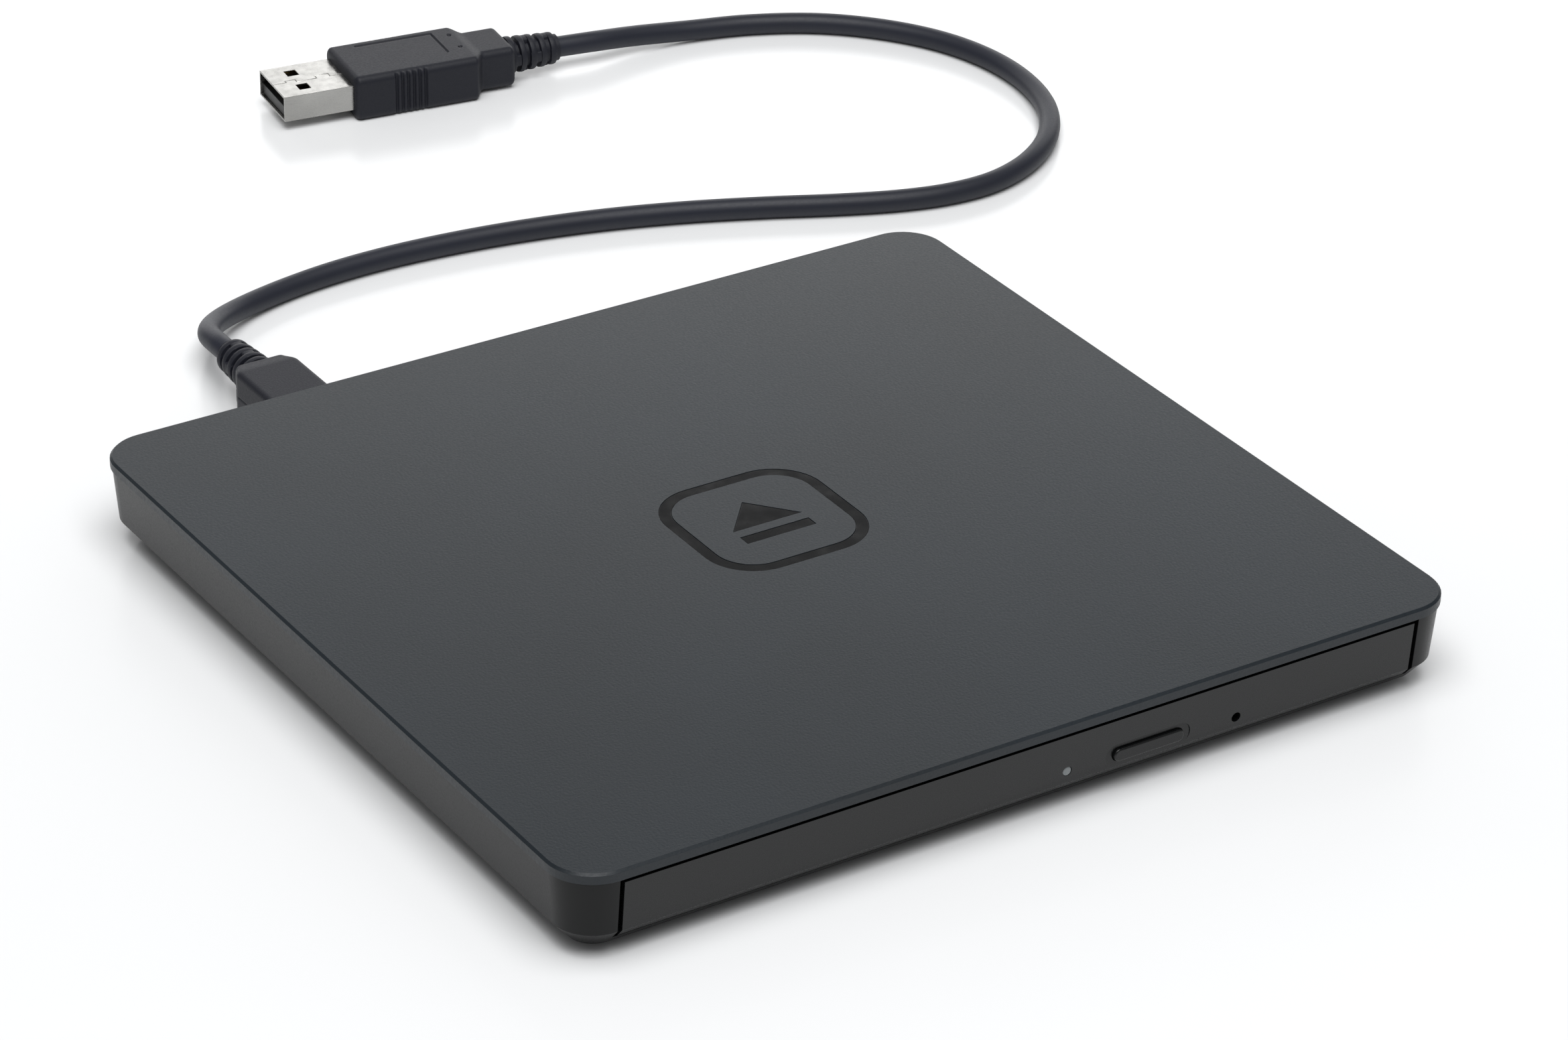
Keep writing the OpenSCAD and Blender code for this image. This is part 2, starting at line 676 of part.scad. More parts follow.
module tray_board() {
    color("#1f5a3a") difference() {
        translate([0, 0, board_z]) linear_extrude(main_t) polygon([
            [-14, tray_y0 + 1.4], [31, tray_y0 + 1.4], [31, tray_y0 + 30], [cover_hw - 1, tray_y0 + 30],
            [cover_hw - 1, tray_y1 - 9], [26, tray_y1 - 9], [26, disc_y + 8], [30, disc_y - 12],
            [19, tray_y0 + 22], [-2, tray_y0 + 14]
        ]);
        translate([24, tray_y0 + 24, 0]) cylinder(h = 20, r = 1);
    }
}

module tray_chips() {
    color("#0e0f10") translate([34, disc_y, board_top]) {
        cube([12, 12, 1.1]);
        translate([2, 17, 0]) cube([8, 5, 0.9]);
        translate([3, -14, 0]) cube([6, 6, 0.9]);
        for (i = [0:4]) translate([1.8 * i, 14, 0]) cube([0.9, 1.6, 0.6]);
    }
    color("#e7e2d0") block([lamp_x - 0.8, tray_y0 + 1.5, board_top],
        [lamp_x + 0.8, tray_y0 + 2.5, board_top + 1.2]);
}

module eject_switch() {
    y0 = tray_y0 + 1.5;
    color("#b9bcbe") block([button_x - 2.3, y0 + 0.35, board_top],
        [button_x + 2.3, y0 + 3.2, board_top + 2.1]);
    color("#222324") along_y([button_x, y0, controls_z], 0.5, 0.35);
}

module ribbon_socket() {
    color("#d9d3c4") difference() {
        block([29, tray_y1 - 13, board_top], [43, tray_y1 - 9.4, board_top + 1.3]);
        block([29.8, tray_y1 - 11.5, board_top + 0.4], [42.2, tray_y1 - 9, board_top + 0.75]);
    }
}

// The flat cable: along the case's floor, round a fold, back under the tray and up into its board
module ribbon() {
    mid = (ribbon_low + ribbon_high + ribbon_t) / 2;
    fold_r = (ribbon_high + ribbon_t - ribbon_low) / 2;
    end_z = board_top + 0.5;
    y_up = tray_y1 + 1.2;
    color("#e8e4da") translate([ribbon_x0, 0, 0]) rotate([90, 0, 90]) linear_extrude(ribbon_w) {
        translate([fold_y, ribbon_low]) square([pan_y1 - 4.2 - fold_y, ribbon_t]);
        translate([fold_y, ribbon_high]) square([y_up - fold_y, ribbon_t]);
        translate([y_up, ribbon_high]) square([ribbon_t, end_z + ribbon_t - ribbon_high]);
        translate([tray_y1 - 11, end_z]) square([y_up - tray_y1 + 11 + ribbon_t, ribbon_t]);
        difference() {
            translate([fold_y, mid]) circle(fold_r);
            translate([fold_y, mid]) circle(fold_r - ribbon_t);
            translate([fold_y, mid - fold_r]) square(2 * fold_r);
        }
    }
}

// Outline of the bezel in Y and Z: its face leans and bevels with the housing's sides
module bezel() {
    z0 = floor_z + 0.2;
    z1 = z0 + bezel_h;
    low = side_in + (bevel_in - side_in) * (side_z - z0) / bevel_h;
    top = seam_in + (side_in - seam_in) * (wall_top - z1) / (wall_top - side_z);
    color("#1c1e20") difference() {
        translate([-bezel_w / 2, 0, 0]) rotate([90, 0, 90]) linear_extrude(bezel_w) polygon([
            [bezel_back, z0], [bezel_back, z1], [front_y + top, z1],
            [front_y + side_in, side_z], [front_y + low, z0]
        ]);
        along_y([lamp_x, front_y - 1, controls_z], lamp_r + fit, 6);
        along_y([pinhole_x, front_y - 1, controls_z - 0.3], pinhole_r, 6);
        // Slot and back pocket of the button
        translate([button_x, front_y - 1, controls_z]) pill_y(button_l + 2 * slip, button_h + 2 * slip, 6);
        translate([button_x, bezel_back - 1.4, controls_z]) pill_y(button_l + 2.6, button_h + 2.4, 3);
        // Shallow thumb recess round the button
        translate([button_x, front_y, controls_z]) pill_y(button_l + 2.4, button_h + 1.6, side_in - 0.05);
    }
}

module lamp_window() {
    y0 = front_y + side_in - 0.2;
    color("#9aa0a4") {
        along_y([lamp_x, y0, controls_z], lamp_r, light_y1 - y0);
    }
}

module eject_button() {
    y0 = front_y + side_in - button_proud - 0.2;
    flange_y = bezel_back - 1.35;
    color("#202224") {
        translate([button_x, y0, controls_z]) pill_y(button_l, button_h, flange_y - y0);
        translate([button_x, flange_y, controls_z]) pill_y(button_l + 1.8, button_h + 1.6, 0.8);
        along_y([button_x, flange_y + 0.7, controls_z], 0.8, tray_y0 + 1.4 - button_travel - flange_y - 0.7);
    }
}

// ---- Traverse: the frame that carries motor and pickup under the tray ----

module traverse_plate() {
    color("#8f9598") on_sled_line() {
        difference() {
            union() {
                translate([-13.5, -plate_v, traverse_z]) cube([guide_u1 + 15, 2 * plate_v, 0.5]);
                for (p = traverse_posts()) translate([p[0], p[1], traverse_z]) cylinder(h = 0.5, r = 3.2);
                for (u = [guide_u0, guide_u1], v = [-guide_v, guide_v])
                    translate([u - 0.9, v - 1.7, traverse_z]) cube([1.8, 3.4, rod_z + 1.3 - traverse_z]);
                translate([guide_u0 + 0.9, screw_v - 1.5, traverse_z])
                    cube([1.2, 3, rod_z + 1.2 - traverse_z]);
            }
            translate([0, 0, traverse_z - 1]) cylinder(h = 5, r = rotor_r + 0.4);
            difference() {
                translate([0, -window_v, traverse_z - 1]) cube([guide_u1 + 1, 2 * window_v, 1.6]);
                for (u = [guide_u0, guide_u1], v = [-1, 1])
                    translate([u - 0.9, v * (guide_v + 1) - 2.7, traverse_z - 1]) cube([1.8, 5.4, 2]);
            }
            for (v = [-guide_v, guide_v]) translate([guide_u0 - 2, v, rod_z]) rotate([0, 90, 0])
                cylinder(h = guide_u1, r = guide_r);
            translate([guide_u0, screw_v, rod_z]) rotate([0, 90, 0]) cylinder(h = 4, r = lead_r + run);
            for (p = traverse_posts()) translate([p[0], p[1], 0]) cylinder(h = 20, r = 1.9);
        }
    }
}

module dampers() {
    color("#5b3d2c") on_sled_line() for (p = traverse_posts())
        translate([p[0], p[1], traverse_z]) difference() {
            union() {
                translate([0, 0, -0.5]) cylinder(h = 0.5, r = 2.9);
                cylinder(h = 0.5, r = 1.9);
                translate([0, 0, 0.5]) cylinder(h = 0.1, r = 2.9);
            }
            translate([0, 0, -1]) cylinder(h = 5, r = 0.9);
        }
}

module motor_stator() {
    color("#b88a3a") translate([0, disc_y, 0]) {
        difference() {
            union() {
                translate([0, 0, traverse_z - 0.5]) cylinder(h = 0.5, r = rotor_r + 2);
                translate([0, 0, traverse_z - 0.1]) cylinder(h = plate_z - traverse_z - 0.5, r = bearing_r);
                // Poles of the stator
                for (a = [0:40:320]) rotate([0, 0, a]) {
                    translate([0, -0.6, traverse_z + 0.9]) cube([rotor_r - 2.6, 1.2, 1.2]);
                    translate([5, -1.1, traverse_z + 0.6]) cube([3.4, 2.2, 1.8]);
                }
            }
            translate([0, 0, traverse_z - 0.2]) cylinder(h = 10, r = shaft_r + run);
        }
    }
}

module guide_rods() {
    color("#dfe1e3") on_sled_line() for (v = [-guide_v, guide_v])
        translate([guide_u0 - 0.7, v, rod_z]) rotate([0, 90, 0])
            cylinder(h = guide_u1 - guide_u0 + 1.4, r = guide_r);
}

module stepper_motor() {
    color("#c4c8ca") on_sled_line() difference() {
        translate([guide_u1 - motor_l + 0.8, 0, 0]) intersection() {
            translate([0, screw_v, rod_z]) rotate([0, 90, 0]) cylinder(h = motor_l, r = 3.3);
            translate([-1, window_v + 0.2, traverse_z + 0.5])
                cube([motor_l + 2, 7, plate_z - traverse_z - 0.6]);
        }
        translate([guide_u1 - motor_l, screw_v, rod_z]) rotate([0, 90, 0]) cylinder(h = 5, r = lead_r + run);
    }
}

module lead_screw() {
    color("#d8dadb") on_sled_line() translate([guide_u0 + 0.9, screw_v, rod_z]) rotate([0, 90, 0]) {
        cylinder(h = guide_u1 - motor_l - guide_u0 + 3.5, r = lead_r - 0.15);
        for (i = [0:floor((guide_u1 - motor_l - guide_u0 - 3) / 1.5)])
            translate([0, 0, 2 + 1.5 * i]) cylinder(h = 0.7, r = lead_r);
    }
}

module pickup_sled() {
    top = plate_z - 0.3;
    low = traverse_z + 0.15;
    color("#2e3436") on_sled_line() difference() {
        union() {
            translate([0, -window_v + 0.5, low]) cube([sled_end, 2 * window_v - 1, top - low]);
            translate([0, -9.6, low]) cube([sled_end, 19.2, plate_z + plate_t - 0.2 - low]);
            // Finger that rides on the lead screw
            translate([guide_u0 + 7.4, window_v - 1, rod_z + lead_r + 0.05])
                cube([3.4, screw_v - window_v + 1.8, top - rod_z - lead_r - 0.05]);
        }
        translate([0, 0, low - 1]) cylinder(h = 20, r = turntable_r + 0.7);
        translate([0, -window_v - 3, low - 1]) cube([guide_u0 + 4.4, 2 * window_v + 6, 20]);
        for (v = [-guide_v, guide_v]) translate([0, v, rod_z]) rotate([0, 90, 0])
            cylinder(h = sled_end + 9, r = guide_r + run);
        // Well of the lens
        translate([lens_in - 3.6, -4.6, plate_z - 1.2]) cube([7.2, 9.2, 5]);
    }
}

module lens_holder() {
    color("#16181a") on_sled_line() difference() {
        translate([lens_in - 3.3, -4.3, plate_z - 0.6]) cube([6.6, 8.6, 1.5]);
        translate([lens_in, 0, plate_z - 2]) cylinder(h = 6, r = 1.9);
    }
}

module lens() {
    color("#9db8c8") on_sled_line() translate([lens_in, 0, plate_z - 0.5]) {
        cylinder(h = 1.3, r = 1.85);
        translate([0, 0, 1.3]) cylinder(h = 0.25, r1 = 1.6, r2 = 0.9);
    }
}

// ---- Spindle ----

module spindle_rotor() {
    top = seat_z - 1;
    color("#c8cbcd") translate([0, disc_y, 0]) {
        difference() {
            translate([0, 0, traverse_z + 0.6]) cylinder(h = top - traverse_z - 0.6, r = rotor_r);
            translate([0, 0, traverse_z]) cylinder(h = plate_z - traverse_z, r = rotor_r - 0.7);
        }
        translate([0, 0, traverse_z - 0.15]) cylinder(h = top - traverse_z, r = shaft_r);
    }
}

module turntable() {
    color("#1a1b1c") translate([0, disc_y, seat_z]) difference() {
        union() {
            translate([0, 0, -1]) cylinder(h = 1, r = turntable_r);
            cylinder(h = hub_h - 0.4, r = hub_r);
            translate([0, 0, hub_h - 0.4]) cylinder(h = 0.4, r1 = hub_r, r2 = hub_r - 0.5);
        }
        for (i = [0:2]) rotate([0, 0, 120 * i + 30])
            translate([pawl_in - 1, -pawl_w / 2 - slip, pawl_z - fit])
                cube([hub_r, pawl_w + 2 * slip, pawl_h + 2 * fit]);
        translate([0, 0, hub_h - 0.6]) cylinder(h = 2, r = 2);
    }
}

// A sprung pawl that holds the disc on the hub
module clamp_pawl(i) {
    color("#3a3d40") translate([0, disc_y, seat_z]) intersection() {
        rotate([0, 0, 120 * i + 30]) translate([pawl_in, -pawl_w / 2, pawl_z]) cube([hub_r, pawl_w, pawl_h]);
        cylinder(h = hub_h, r = hub_r + pawl_out);
    }
}
module clamp_pawl_1() { clamp_pawl(0); }
module clamp_pawl_2() { clamp_pawl(1); }
module clamp_pawl_3() { clamp_pawl(2); }

// ---- Rails, latch and ejector ----

module rail_right() {
    color("#dcdedf") block([rail_x, rail_y0, rail_z], [rail_x + rail_t, rail_y0 + rail_l, rail_z + rail_h]);
}
module rail_left() {
    color("#dcdedf") mirror([1, 0, 0])
        block([rail_x, rail_y0, rail_z], [rail_x + rail_t, rail_y0 + rail_l, rail_z + rail_h]);
}

// Lever in its released place: it turns about +Z by latch_swing to hook behind the post
module latch_lever() {
    color("#d9d6cf") translate([lever_x, lever_y, lever_z]) linear_extrude(1.6) difference() {
        union() {
            circle(2.3);
            rotate(latch_swing) polygon([
                [-1.6, -0.5], [1.6, -0.5], [hook_x - 3, hook_y], [hook_x, hook_y],
                [hook_x, hook_y + 1.85], [hook_x - 4.7, hook_y + 1.85]
            ]);
            translate([-8, -1.3]) square([14, 1.9]);
        }
        circle(1 + run);
    }
}

// Bar behind the emergency hole, bent round to push the lever's tail
module release_slide() {
    z1 = lever_z + 1.6;
    color("#cfd2d4") {
        block([pinhole_x - 1.4, tray_y0 + 3, lever_z], [pinhole_x + 1.4, lever_y - 3.9, controls_z + 0.9]);
        block([pinhole_x - 1.4, lever_y - 5.2, lever_z], [lever_x + 6, lever_y - 3.9, z1]);
        block([lever_x + 4, lever_y - 5.2, lever_z], [lever_x + 6, lever_y - 1.6, z1]);
    }
}

module solenoid() {
    color("#a4552d") difference() {
        block([coil_x - 2.6, lever_y + 2, coil_z - 1.4], [coil_x + 2.6, lever_y + 11, coil_z + 1.4]);
        along_y([coil_x, lever_y, coil_z], 0.8 + run, 14);
    }
}

module solenoid_plunger() {
    color("#d6d8da") {
        along_y([coil_x, lever_y - 0.9, coil_z], 0.8, 10);
        block([coil_x - 0.8, lever_y - 1, coil_z - 0.6], [lever_x - 8.4, lever_y - 0.1, coil_z + 0.5]);
    }
}

module ejector() {
    color("#cfd2d4") {
        along_y([ejector_x, tray_y1 - 22, ejector_z], 1.1, 19);
    }
}

// ---- Cable ----

// A strain relief along +X from the origin: a core with rings
module relief() {
    rings = 5;
    pitch = relief_l / rings;
    cylinder(h = relief_l, r = cord_r + 0.5);
    for (i = [0:rings - 1]) translate([0, 0, i * pitch]) cylinder(h = pitch * 0.62, r = relief_r - 0.12 * i);
}

// Outline of a grip across its length, with its four corners bevelled
module grip_outline(w, h, c) {
    polygon([
        [-w / 2 + c, -h / 2], [w / 2 - c, -h / 2], [w / 2, -h / 2 + c], [w / 2, h / 2 - c],
        [w / 2 - c, h / 2], [-w / 2 + c, h / 2], [-w / 2, h / 2 - c], [-w / 2, -h / 2 + c]
    ]);
}

module rear_grip() {
    color("#262833") translate([port_x, grip_y + rear_grip_l, port_z]) rotate([90, 0, 0])
        linear_extrude(rear_grip_l) grip_outline(rear_grip_w, rear_grip_h, 1.2);
}

module rear_plug_shell() {
    shell_w = socket_w - 0.8 - 2 * run;
    shell_h = socket_h - 0.8 - 2 * run;
    color("#b9bbbd") difference() {
        block([port_x - shell_w / 2, rear_face - 6.7, port_z - shell_h / 2],
            [port_x + shell_w / 2, grip_y, port_z + shell_h / 2]);
        block([port_x - shell_w / 2 + shell_t, rear_face - 7, port_z - shell_h / 2 + shell_t],
            [port_x + shell_w / 2 - shell_t, grip_y - 1, port_z + shell_h / 2 - shell_t]);
    }
}

module rear_relief() {
    color("#262833") translate([port_x, rear_relief_y, port_z]) rotate([-90, 0, 0]) relief();
}

// Puts children at the USB-A plug: +X points out of its shell, the origin is the grip's front face
module at_usb_plug() {
    translate(plug_at) rotate([0, 0, plug_angle]) children();
}

// Seam lines along X, from x to x at y, and the steps between them, at x from y to y
function seam_runs() = [
    [-1, 2.2, 0.6], [2.2, 4.6, -0.5], [4.6, 8.2, 0.6], [8.2, 10, -0.3], [10, usb_l + 1, 0.4]
];
function seam_steps() = [[2.2, -0.5, 0.6], [4.6, -0.5, 0.6], [8.2, -0.3, 0.6], [10, -0.3, 0.4]];

module usb_shell() {
    color("#c2c4c6") at_usb_plug() difference() {
        translate([0, -usb_w / 2, -usb_h / 2]) cube([usb_l, usb_w, usb_h]);
        translate([0.5, -usb_w / 2 + shell_t, -usb_h / 2 + shell_t])
            cube([usb_l, usb_w - 2 * shell_t, usb_h - 2 * shell_t]);
        for (s = [-1, 1], z = [-1, 1])
            translate([usb_l - 5.6, s * 2.9 - 1.1, z * usb_h / 2 - 0.5]) cube([2, 2.2, 1]);
        // Dovetail seam where the shell's strip meets itself
        translate([0, 0, usb_h / 2 - seam_w]) {
            for (s = seam_runs()) translate([s[0], s[2], 0]) cube([s[1] - s[0], seam_w, 1]);
            for (s = seam_steps()) translate([s[0], s[1], 0]) cube([seam_w, s[2] - s[1] + seam_w, 1]);
        }
    }
}

module usb_tongue() {
    color("#0d0e10") at_usb_plug()
        translate([0.5, -usb_w / 2 + shell_t + fit, -usb_h / 2 + shell_t + fit])
            cube([usb_l - 1, usb_w - 2 * shell_t - 2 * fit, 1.8]);
}

module usb_contacts() {
    z0 = -usb_h / 2 + shell_t + fit + 1.8;
    color("#c9a24a") at_usb_plug() for (i = [0:3])
        translate([abs(i - 1.5) > 1 ? usb_l - 9.8 : usb_l - 9, (i - 1.5) * 2.3 - 0.5, z0])
            cube([7.4, 1, 0.12]);
}

module usb_grip() {
    neck = 6.5;
    body = grip_l - neck;
    color("#262833") at_usb_plug() {
        rotate([90, 0, -90]) linear_extrude(body - 2) grip_outline(grip_w, grip_h, 1.3);
        // Shoulder that draws in to the neck
        translate([-body + 2, 0, -grip_h / 2 + 0.3]) linear_extrude(grip_h - 0.6)
            polygon([
                [0.01, -grip_w / 2 + 0.9], [0.01, grip_w / 2 - 0.9],
                [-2, grip_w / 2 - 2.4], [-2, -grip_w / 2 + 2.4]
            ]);
        translate([-body, 0, 0]) rotate([90, 0, -90]) linear_extrude(neck)
            grip_outline(grip_w - 4.8, grip_h - 0.8, 1.6);
    }
}

module usb_relief() {
    color("#262833") at_usb_plug() translate([-grip_l, 0, 0]) rotate([0, -90, 0]) relief();
}

// Point at t, from 0 to 1, of a smooth curve between ROUTE[i] and ROUTE[i + 1]
function route_end(i) = ROUTE[max(0, min(len(ROUTE) - 1, i))];
function route_at(i, t) =
    let (a = route_end(i - 1), b = route_end(i), c = route_end(i + 1), d = route_end(i + 2))
    0.5 * (2 * b + (c - a) * t + (2 * a - 5 * b + 4 * c - d) * t * t + (3 * b - a - 3 * c + d) * t * t * t);
function unit(v) = v / norm(v);

module cord() {
    per = 2;
    path = concat(
        [for (i = [0:len(ROUTE) - 2], k = [0:per - 1]) route_at(i, k / per)], [ROUTE[len(ROUTE) - 1]]
    );
    n = len(path);
    points = [for (i = [0:n - 1])
        let (
            along = unit(path[min(n - 1, i + 1)] - path[max(0, i - 1)]),
            side = unit(cross(along, [0, 0, 1])),
            up = cross(side, along)
        )
        for (k = [0:cord_sides - 1])
            path[i] + cord_r * (cos(360 * k / cord_sides) * side + sin(360 * k / cord_sides) * up)
    ];
    color("#262833") polyhedron(points = points, faces = concat(
        [[for (k = [0:cord_sides - 1]) cord_sides - 1 - k]],
        [for (i = [0:n - 2], k = [0:cord_sides - 1])
            let (a = i * cord_sides + k, b = i * cord_sides + (k + 1) % cord_sides)
            [a, b, b + cord_sides, a + cord_sides]],
        [[for (k = [0:cord_sides - 1]) (n - 1) * cord_sides + k]]
    ));
}

lid();
lid_mark();
base_shell();
feet();
housing_screws();
drive_pan();
drive_cover();
rail_guides();
cover_screws();
main_board();
sata_plug();
sata_socket();
bridge_board();
bridge_chips();
usb_socket();
latch_post();
rear_ribbon_socket();
tray();
bezel();
lamp_window();
tray_cover();
tray_screws();
tray_board();
tray_chips();
eject_switch();
ribbon_socket();
ribbon();
traverse_plate();
dampers();
motor_stator();
guide_rods();
stepper_motor();
solenoid();
solenoid_plunger();
rail_left();
rail_right();
eject_button();
spindle_rotor();
turntable();
clamp_pawl_1();
clamp_pawl_2();
clamp_pawl_3();
pickup_sled();
lead_screw();
lens_holder();
lens();
latch_lever();
release_slide();
ejector();
rear_grip();
rear_plug_shell();
rear_relief();
cord();
usb_shell();
usb_tongue();
usb_contacts();
usb_grip();
usb_relief();
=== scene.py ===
# %% Load the frame
import json
import bmesh
import bpy
import numpy as np
from mathutils import Matrix, Vector

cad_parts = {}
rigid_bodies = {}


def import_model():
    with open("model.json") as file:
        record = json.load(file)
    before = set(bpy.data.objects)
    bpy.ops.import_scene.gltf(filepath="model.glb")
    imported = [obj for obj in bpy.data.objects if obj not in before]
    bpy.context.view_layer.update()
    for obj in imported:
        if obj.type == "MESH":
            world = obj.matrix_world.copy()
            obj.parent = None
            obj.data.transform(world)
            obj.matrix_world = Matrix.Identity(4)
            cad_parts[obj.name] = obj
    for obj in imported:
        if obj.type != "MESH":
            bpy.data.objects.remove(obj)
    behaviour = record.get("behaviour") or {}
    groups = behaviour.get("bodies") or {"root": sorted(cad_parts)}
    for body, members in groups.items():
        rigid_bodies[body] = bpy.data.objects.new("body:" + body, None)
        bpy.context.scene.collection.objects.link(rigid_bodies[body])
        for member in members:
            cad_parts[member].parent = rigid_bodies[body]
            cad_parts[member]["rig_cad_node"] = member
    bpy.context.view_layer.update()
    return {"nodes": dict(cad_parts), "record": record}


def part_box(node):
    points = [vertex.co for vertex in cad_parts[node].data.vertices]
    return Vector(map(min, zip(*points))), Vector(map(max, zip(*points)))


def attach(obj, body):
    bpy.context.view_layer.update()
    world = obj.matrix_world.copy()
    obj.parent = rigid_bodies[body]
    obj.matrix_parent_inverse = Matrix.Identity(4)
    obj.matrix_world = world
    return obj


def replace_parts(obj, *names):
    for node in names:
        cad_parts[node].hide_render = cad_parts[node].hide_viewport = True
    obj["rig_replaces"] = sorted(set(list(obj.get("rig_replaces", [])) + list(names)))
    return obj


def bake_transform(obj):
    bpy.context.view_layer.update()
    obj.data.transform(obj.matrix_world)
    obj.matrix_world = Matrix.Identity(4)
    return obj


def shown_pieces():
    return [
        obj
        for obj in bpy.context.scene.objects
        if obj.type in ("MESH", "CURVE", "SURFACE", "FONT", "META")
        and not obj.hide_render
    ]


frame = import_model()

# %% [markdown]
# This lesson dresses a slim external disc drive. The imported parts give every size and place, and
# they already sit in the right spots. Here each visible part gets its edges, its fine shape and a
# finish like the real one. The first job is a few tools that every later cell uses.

MM = 0.001  # the scene is in metres, and the parts are thought of in millimetres
body_of = {n: b for b, names in frame["record"]["behaviour"]["bodies"].items() for n in names}


def box_mm(node):
    """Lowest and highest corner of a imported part, in millimetres, as two arrays."""
    low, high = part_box(node)
    return np.array(low) / MM, np.array(high) / MM


# %% [markdown]
# The camera looks down at the drive from its front left, through a long lens, as a catalogue
# picture does. A long lens keeps the far edge nearly as wide as the near one. The camera could be
# aimed with a constraint, but three angles and a place say exactly what it does.

# %% Camera
AZIMUTH, ELEVATION, ROLL = np.radians([-33.06, 29.15, 1.10])
CAMERA_AT = np.array([-370.8, -575.0, 395.5]) * MM
LENS = 126.26  # millimetres, on a 36 mm wide sensor

back = np.array([
    np.sin(AZIMUTH) * np.cos(ELEVATION), -np.cos(AZIMUTH) * np.cos(ELEVATION), np.sin(ELEVATION)
])
level = np.cross(-back, [0, 0, 1])
level = level / np.linalg.norm(level)
upright = np.cross(level, -back)
right = np.cos(ROLL) * level + np.sin(ROLL) * upright
up = np.cos(ROLL) * upright - np.sin(ROLL) * level

camera = bpy.data.objects.new("camera", bpy.data.cameras.new("camera"))
camera.data.lens = LENS
camera.data.sensor_width = 36
camera.data.clip_end = 20
camera.matrix_world = Matrix.Translation(CAMERA_AT) @ Matrix(np.stack([right, up, back], 1)).to_4x4()
bpy.context.scene.collection.objects.link(camera)
bpy.context.scene.camera = camera
print("camera", np.round(CAMERA_AT, 3))

# %% [markdown]
# Every new piece here is a skin over rings of points: a tube, a grip and a rubber foot are all a
# closed outline carried along a line. Numpy works out all rings at once, and one function turns
# them into a mesh. The faces are quads, and one face closes each end.

# %% From rings to a piece


def finish_mesh(mesh, sharp=35):
    """Turns all faces outwards and smooths them, apart from edges sharper than that many degrees."""
    made = bmesh.new()
    made.from_mesh(mesh)
    bmesh.ops.recalc_face_normals(made, faces=made.faces)
    made.to_mesh(mesh)
    made.free()
    mesh.shade_smooth()
    mesh.set_sharp_from_angle(angle=np.radians(sharp))
    return mesh


def ring_mesh(name, rings, sharp=35):
    """rings is an array of ring, point, xyz. Face (i, k) joins points k and k + 1 of rings i and i + 1."""
    count, around = rings.shape[:2]
    i, k = np.meshgrid(np.arange(count - 1), np.arange(around), indexing="ij")
    here, beside = i * around + k, i * around + (k + 1) % around
    quads = np.stack([here, beside, beside + around, here + around], -1).reshape(-1, 4)
    ends = [list(range(around)), list(range((count - 1) * around, count * around))]
    mesh = bpy.data.meshes.new(name)
    mesh.from_pydata(rings.reshape(-1, 3).tolist(), [], quads.tolist() + ends)
    return finish_mesh(mesh, sharp)


def add_piece(name, mesh, *nodes, blended=False):
    """An object for the mesh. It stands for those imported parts, with their body and finish."""
    piece = bpy.data.objects.new(name, mesh)
    bpy.context.scene.collection.objects.link(piece)
    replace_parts(piece, *nodes)
    if not blended:
        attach(piece, body_of[nodes[0]])
    return piece


def catmull_rom(points, per):
    """A smooth line through all points, per steps between two. Between b and c, with neighbours a and d,
    it is half of 2b + (c - a) t + (2a - 5b + 4c - d) t^2 + (3b - a - 3c + d) t^3."""
    ends = np.vstack([points[:1], points, points[-1:]])
    a, b, c, d = ends[:-3], ends[1:-2], ends[2:-1], ends[3:]
    t = np.arange(per)[:, None, None] / per
    line = 0.5 * (2 * b + (c - a) * t + (2 * a - 5 * b + 4 * c - d) * t**2 + (3 * b - a - 3 * c + d) * t**3)
    return np.vstack([line.transpose(1, 0, 2).reshape(-1, 3), points[-1:]])


def along_line(line, outline):
    """Carries an outline, an array of side and up offsets, along a line: each ring lies across the line,
    with its side level and its up as near to upright as the line allows."""
    ahead = np.gradient(line, axis=0)
    ahead = ahead / np.linalg.norm(ahead, axis=1, keepdims=True)
    side = np.cross(ahead, [0, 0, 1])
    side = side / np.linalg.norm(side, axis=1, keepdims=True)
    top = np.cross(side, ahead)
    across = outline[None, :, :1] * side[:, None] + outline[None, :, 1:] * top[:, None]
    return line[:, None] + across


# %% [markdown]
# The cord is a round four-core USB lead, 3.6 mm across, in matt PVC. It leaves the rear plug, drops
# to the table, crosses behind the drive and turns back to its USB-A plug. It could be a Blender
# curve with a bevel, but a ring skin keeps its sides even and takes a fine surface. Its route is a
# list of points, measured from the end of the rear relief on the table. It is the same
# list as in the part's source.

# %% Cord
relief_low, relief_high = box_mm("rear_relief")
cord_start = [(relief_low[0] + relief_high[0]) / 2, relief_high[1], 0]
RUN = [
    [0, 0, 6.5], [0, 3.9, 6.4], [1.2, 9.4, 5.4], [5.4, 15.3, 3.6], [12.4, 20.1, 2.3],
    [22, 23.3, 1.8], [32, 24.7, 1.8], [43, 24.9, 1.8], [55, 23.9, 1.8], [67, 21.9, 1.8],
    [79, 18.9, 1.8], [91, 14.8, 1.8], [103, 9.7, 1.8], [114, 4.5, 1.8], [124, 0.5, 1.8],
    [133, -1.5, 1.8], [142, -1.1, 1.8], [151, 2.5, 1.8], [159, 8.9, 1.8], [165, 17.9, 1.8],
    [168, 28.4, 1.8], [168, 39.4, 1.8], [165, 49.9, 1.8], [159, 59.4, 1.8], [150.5, 67.4, 1.8],
    [140, 72.9, 1.8], [129, 75.8, 2], [119, 76.8, 2.9], [110.5, 76.7, 3.8], [103.4, 77.6, 4],
]
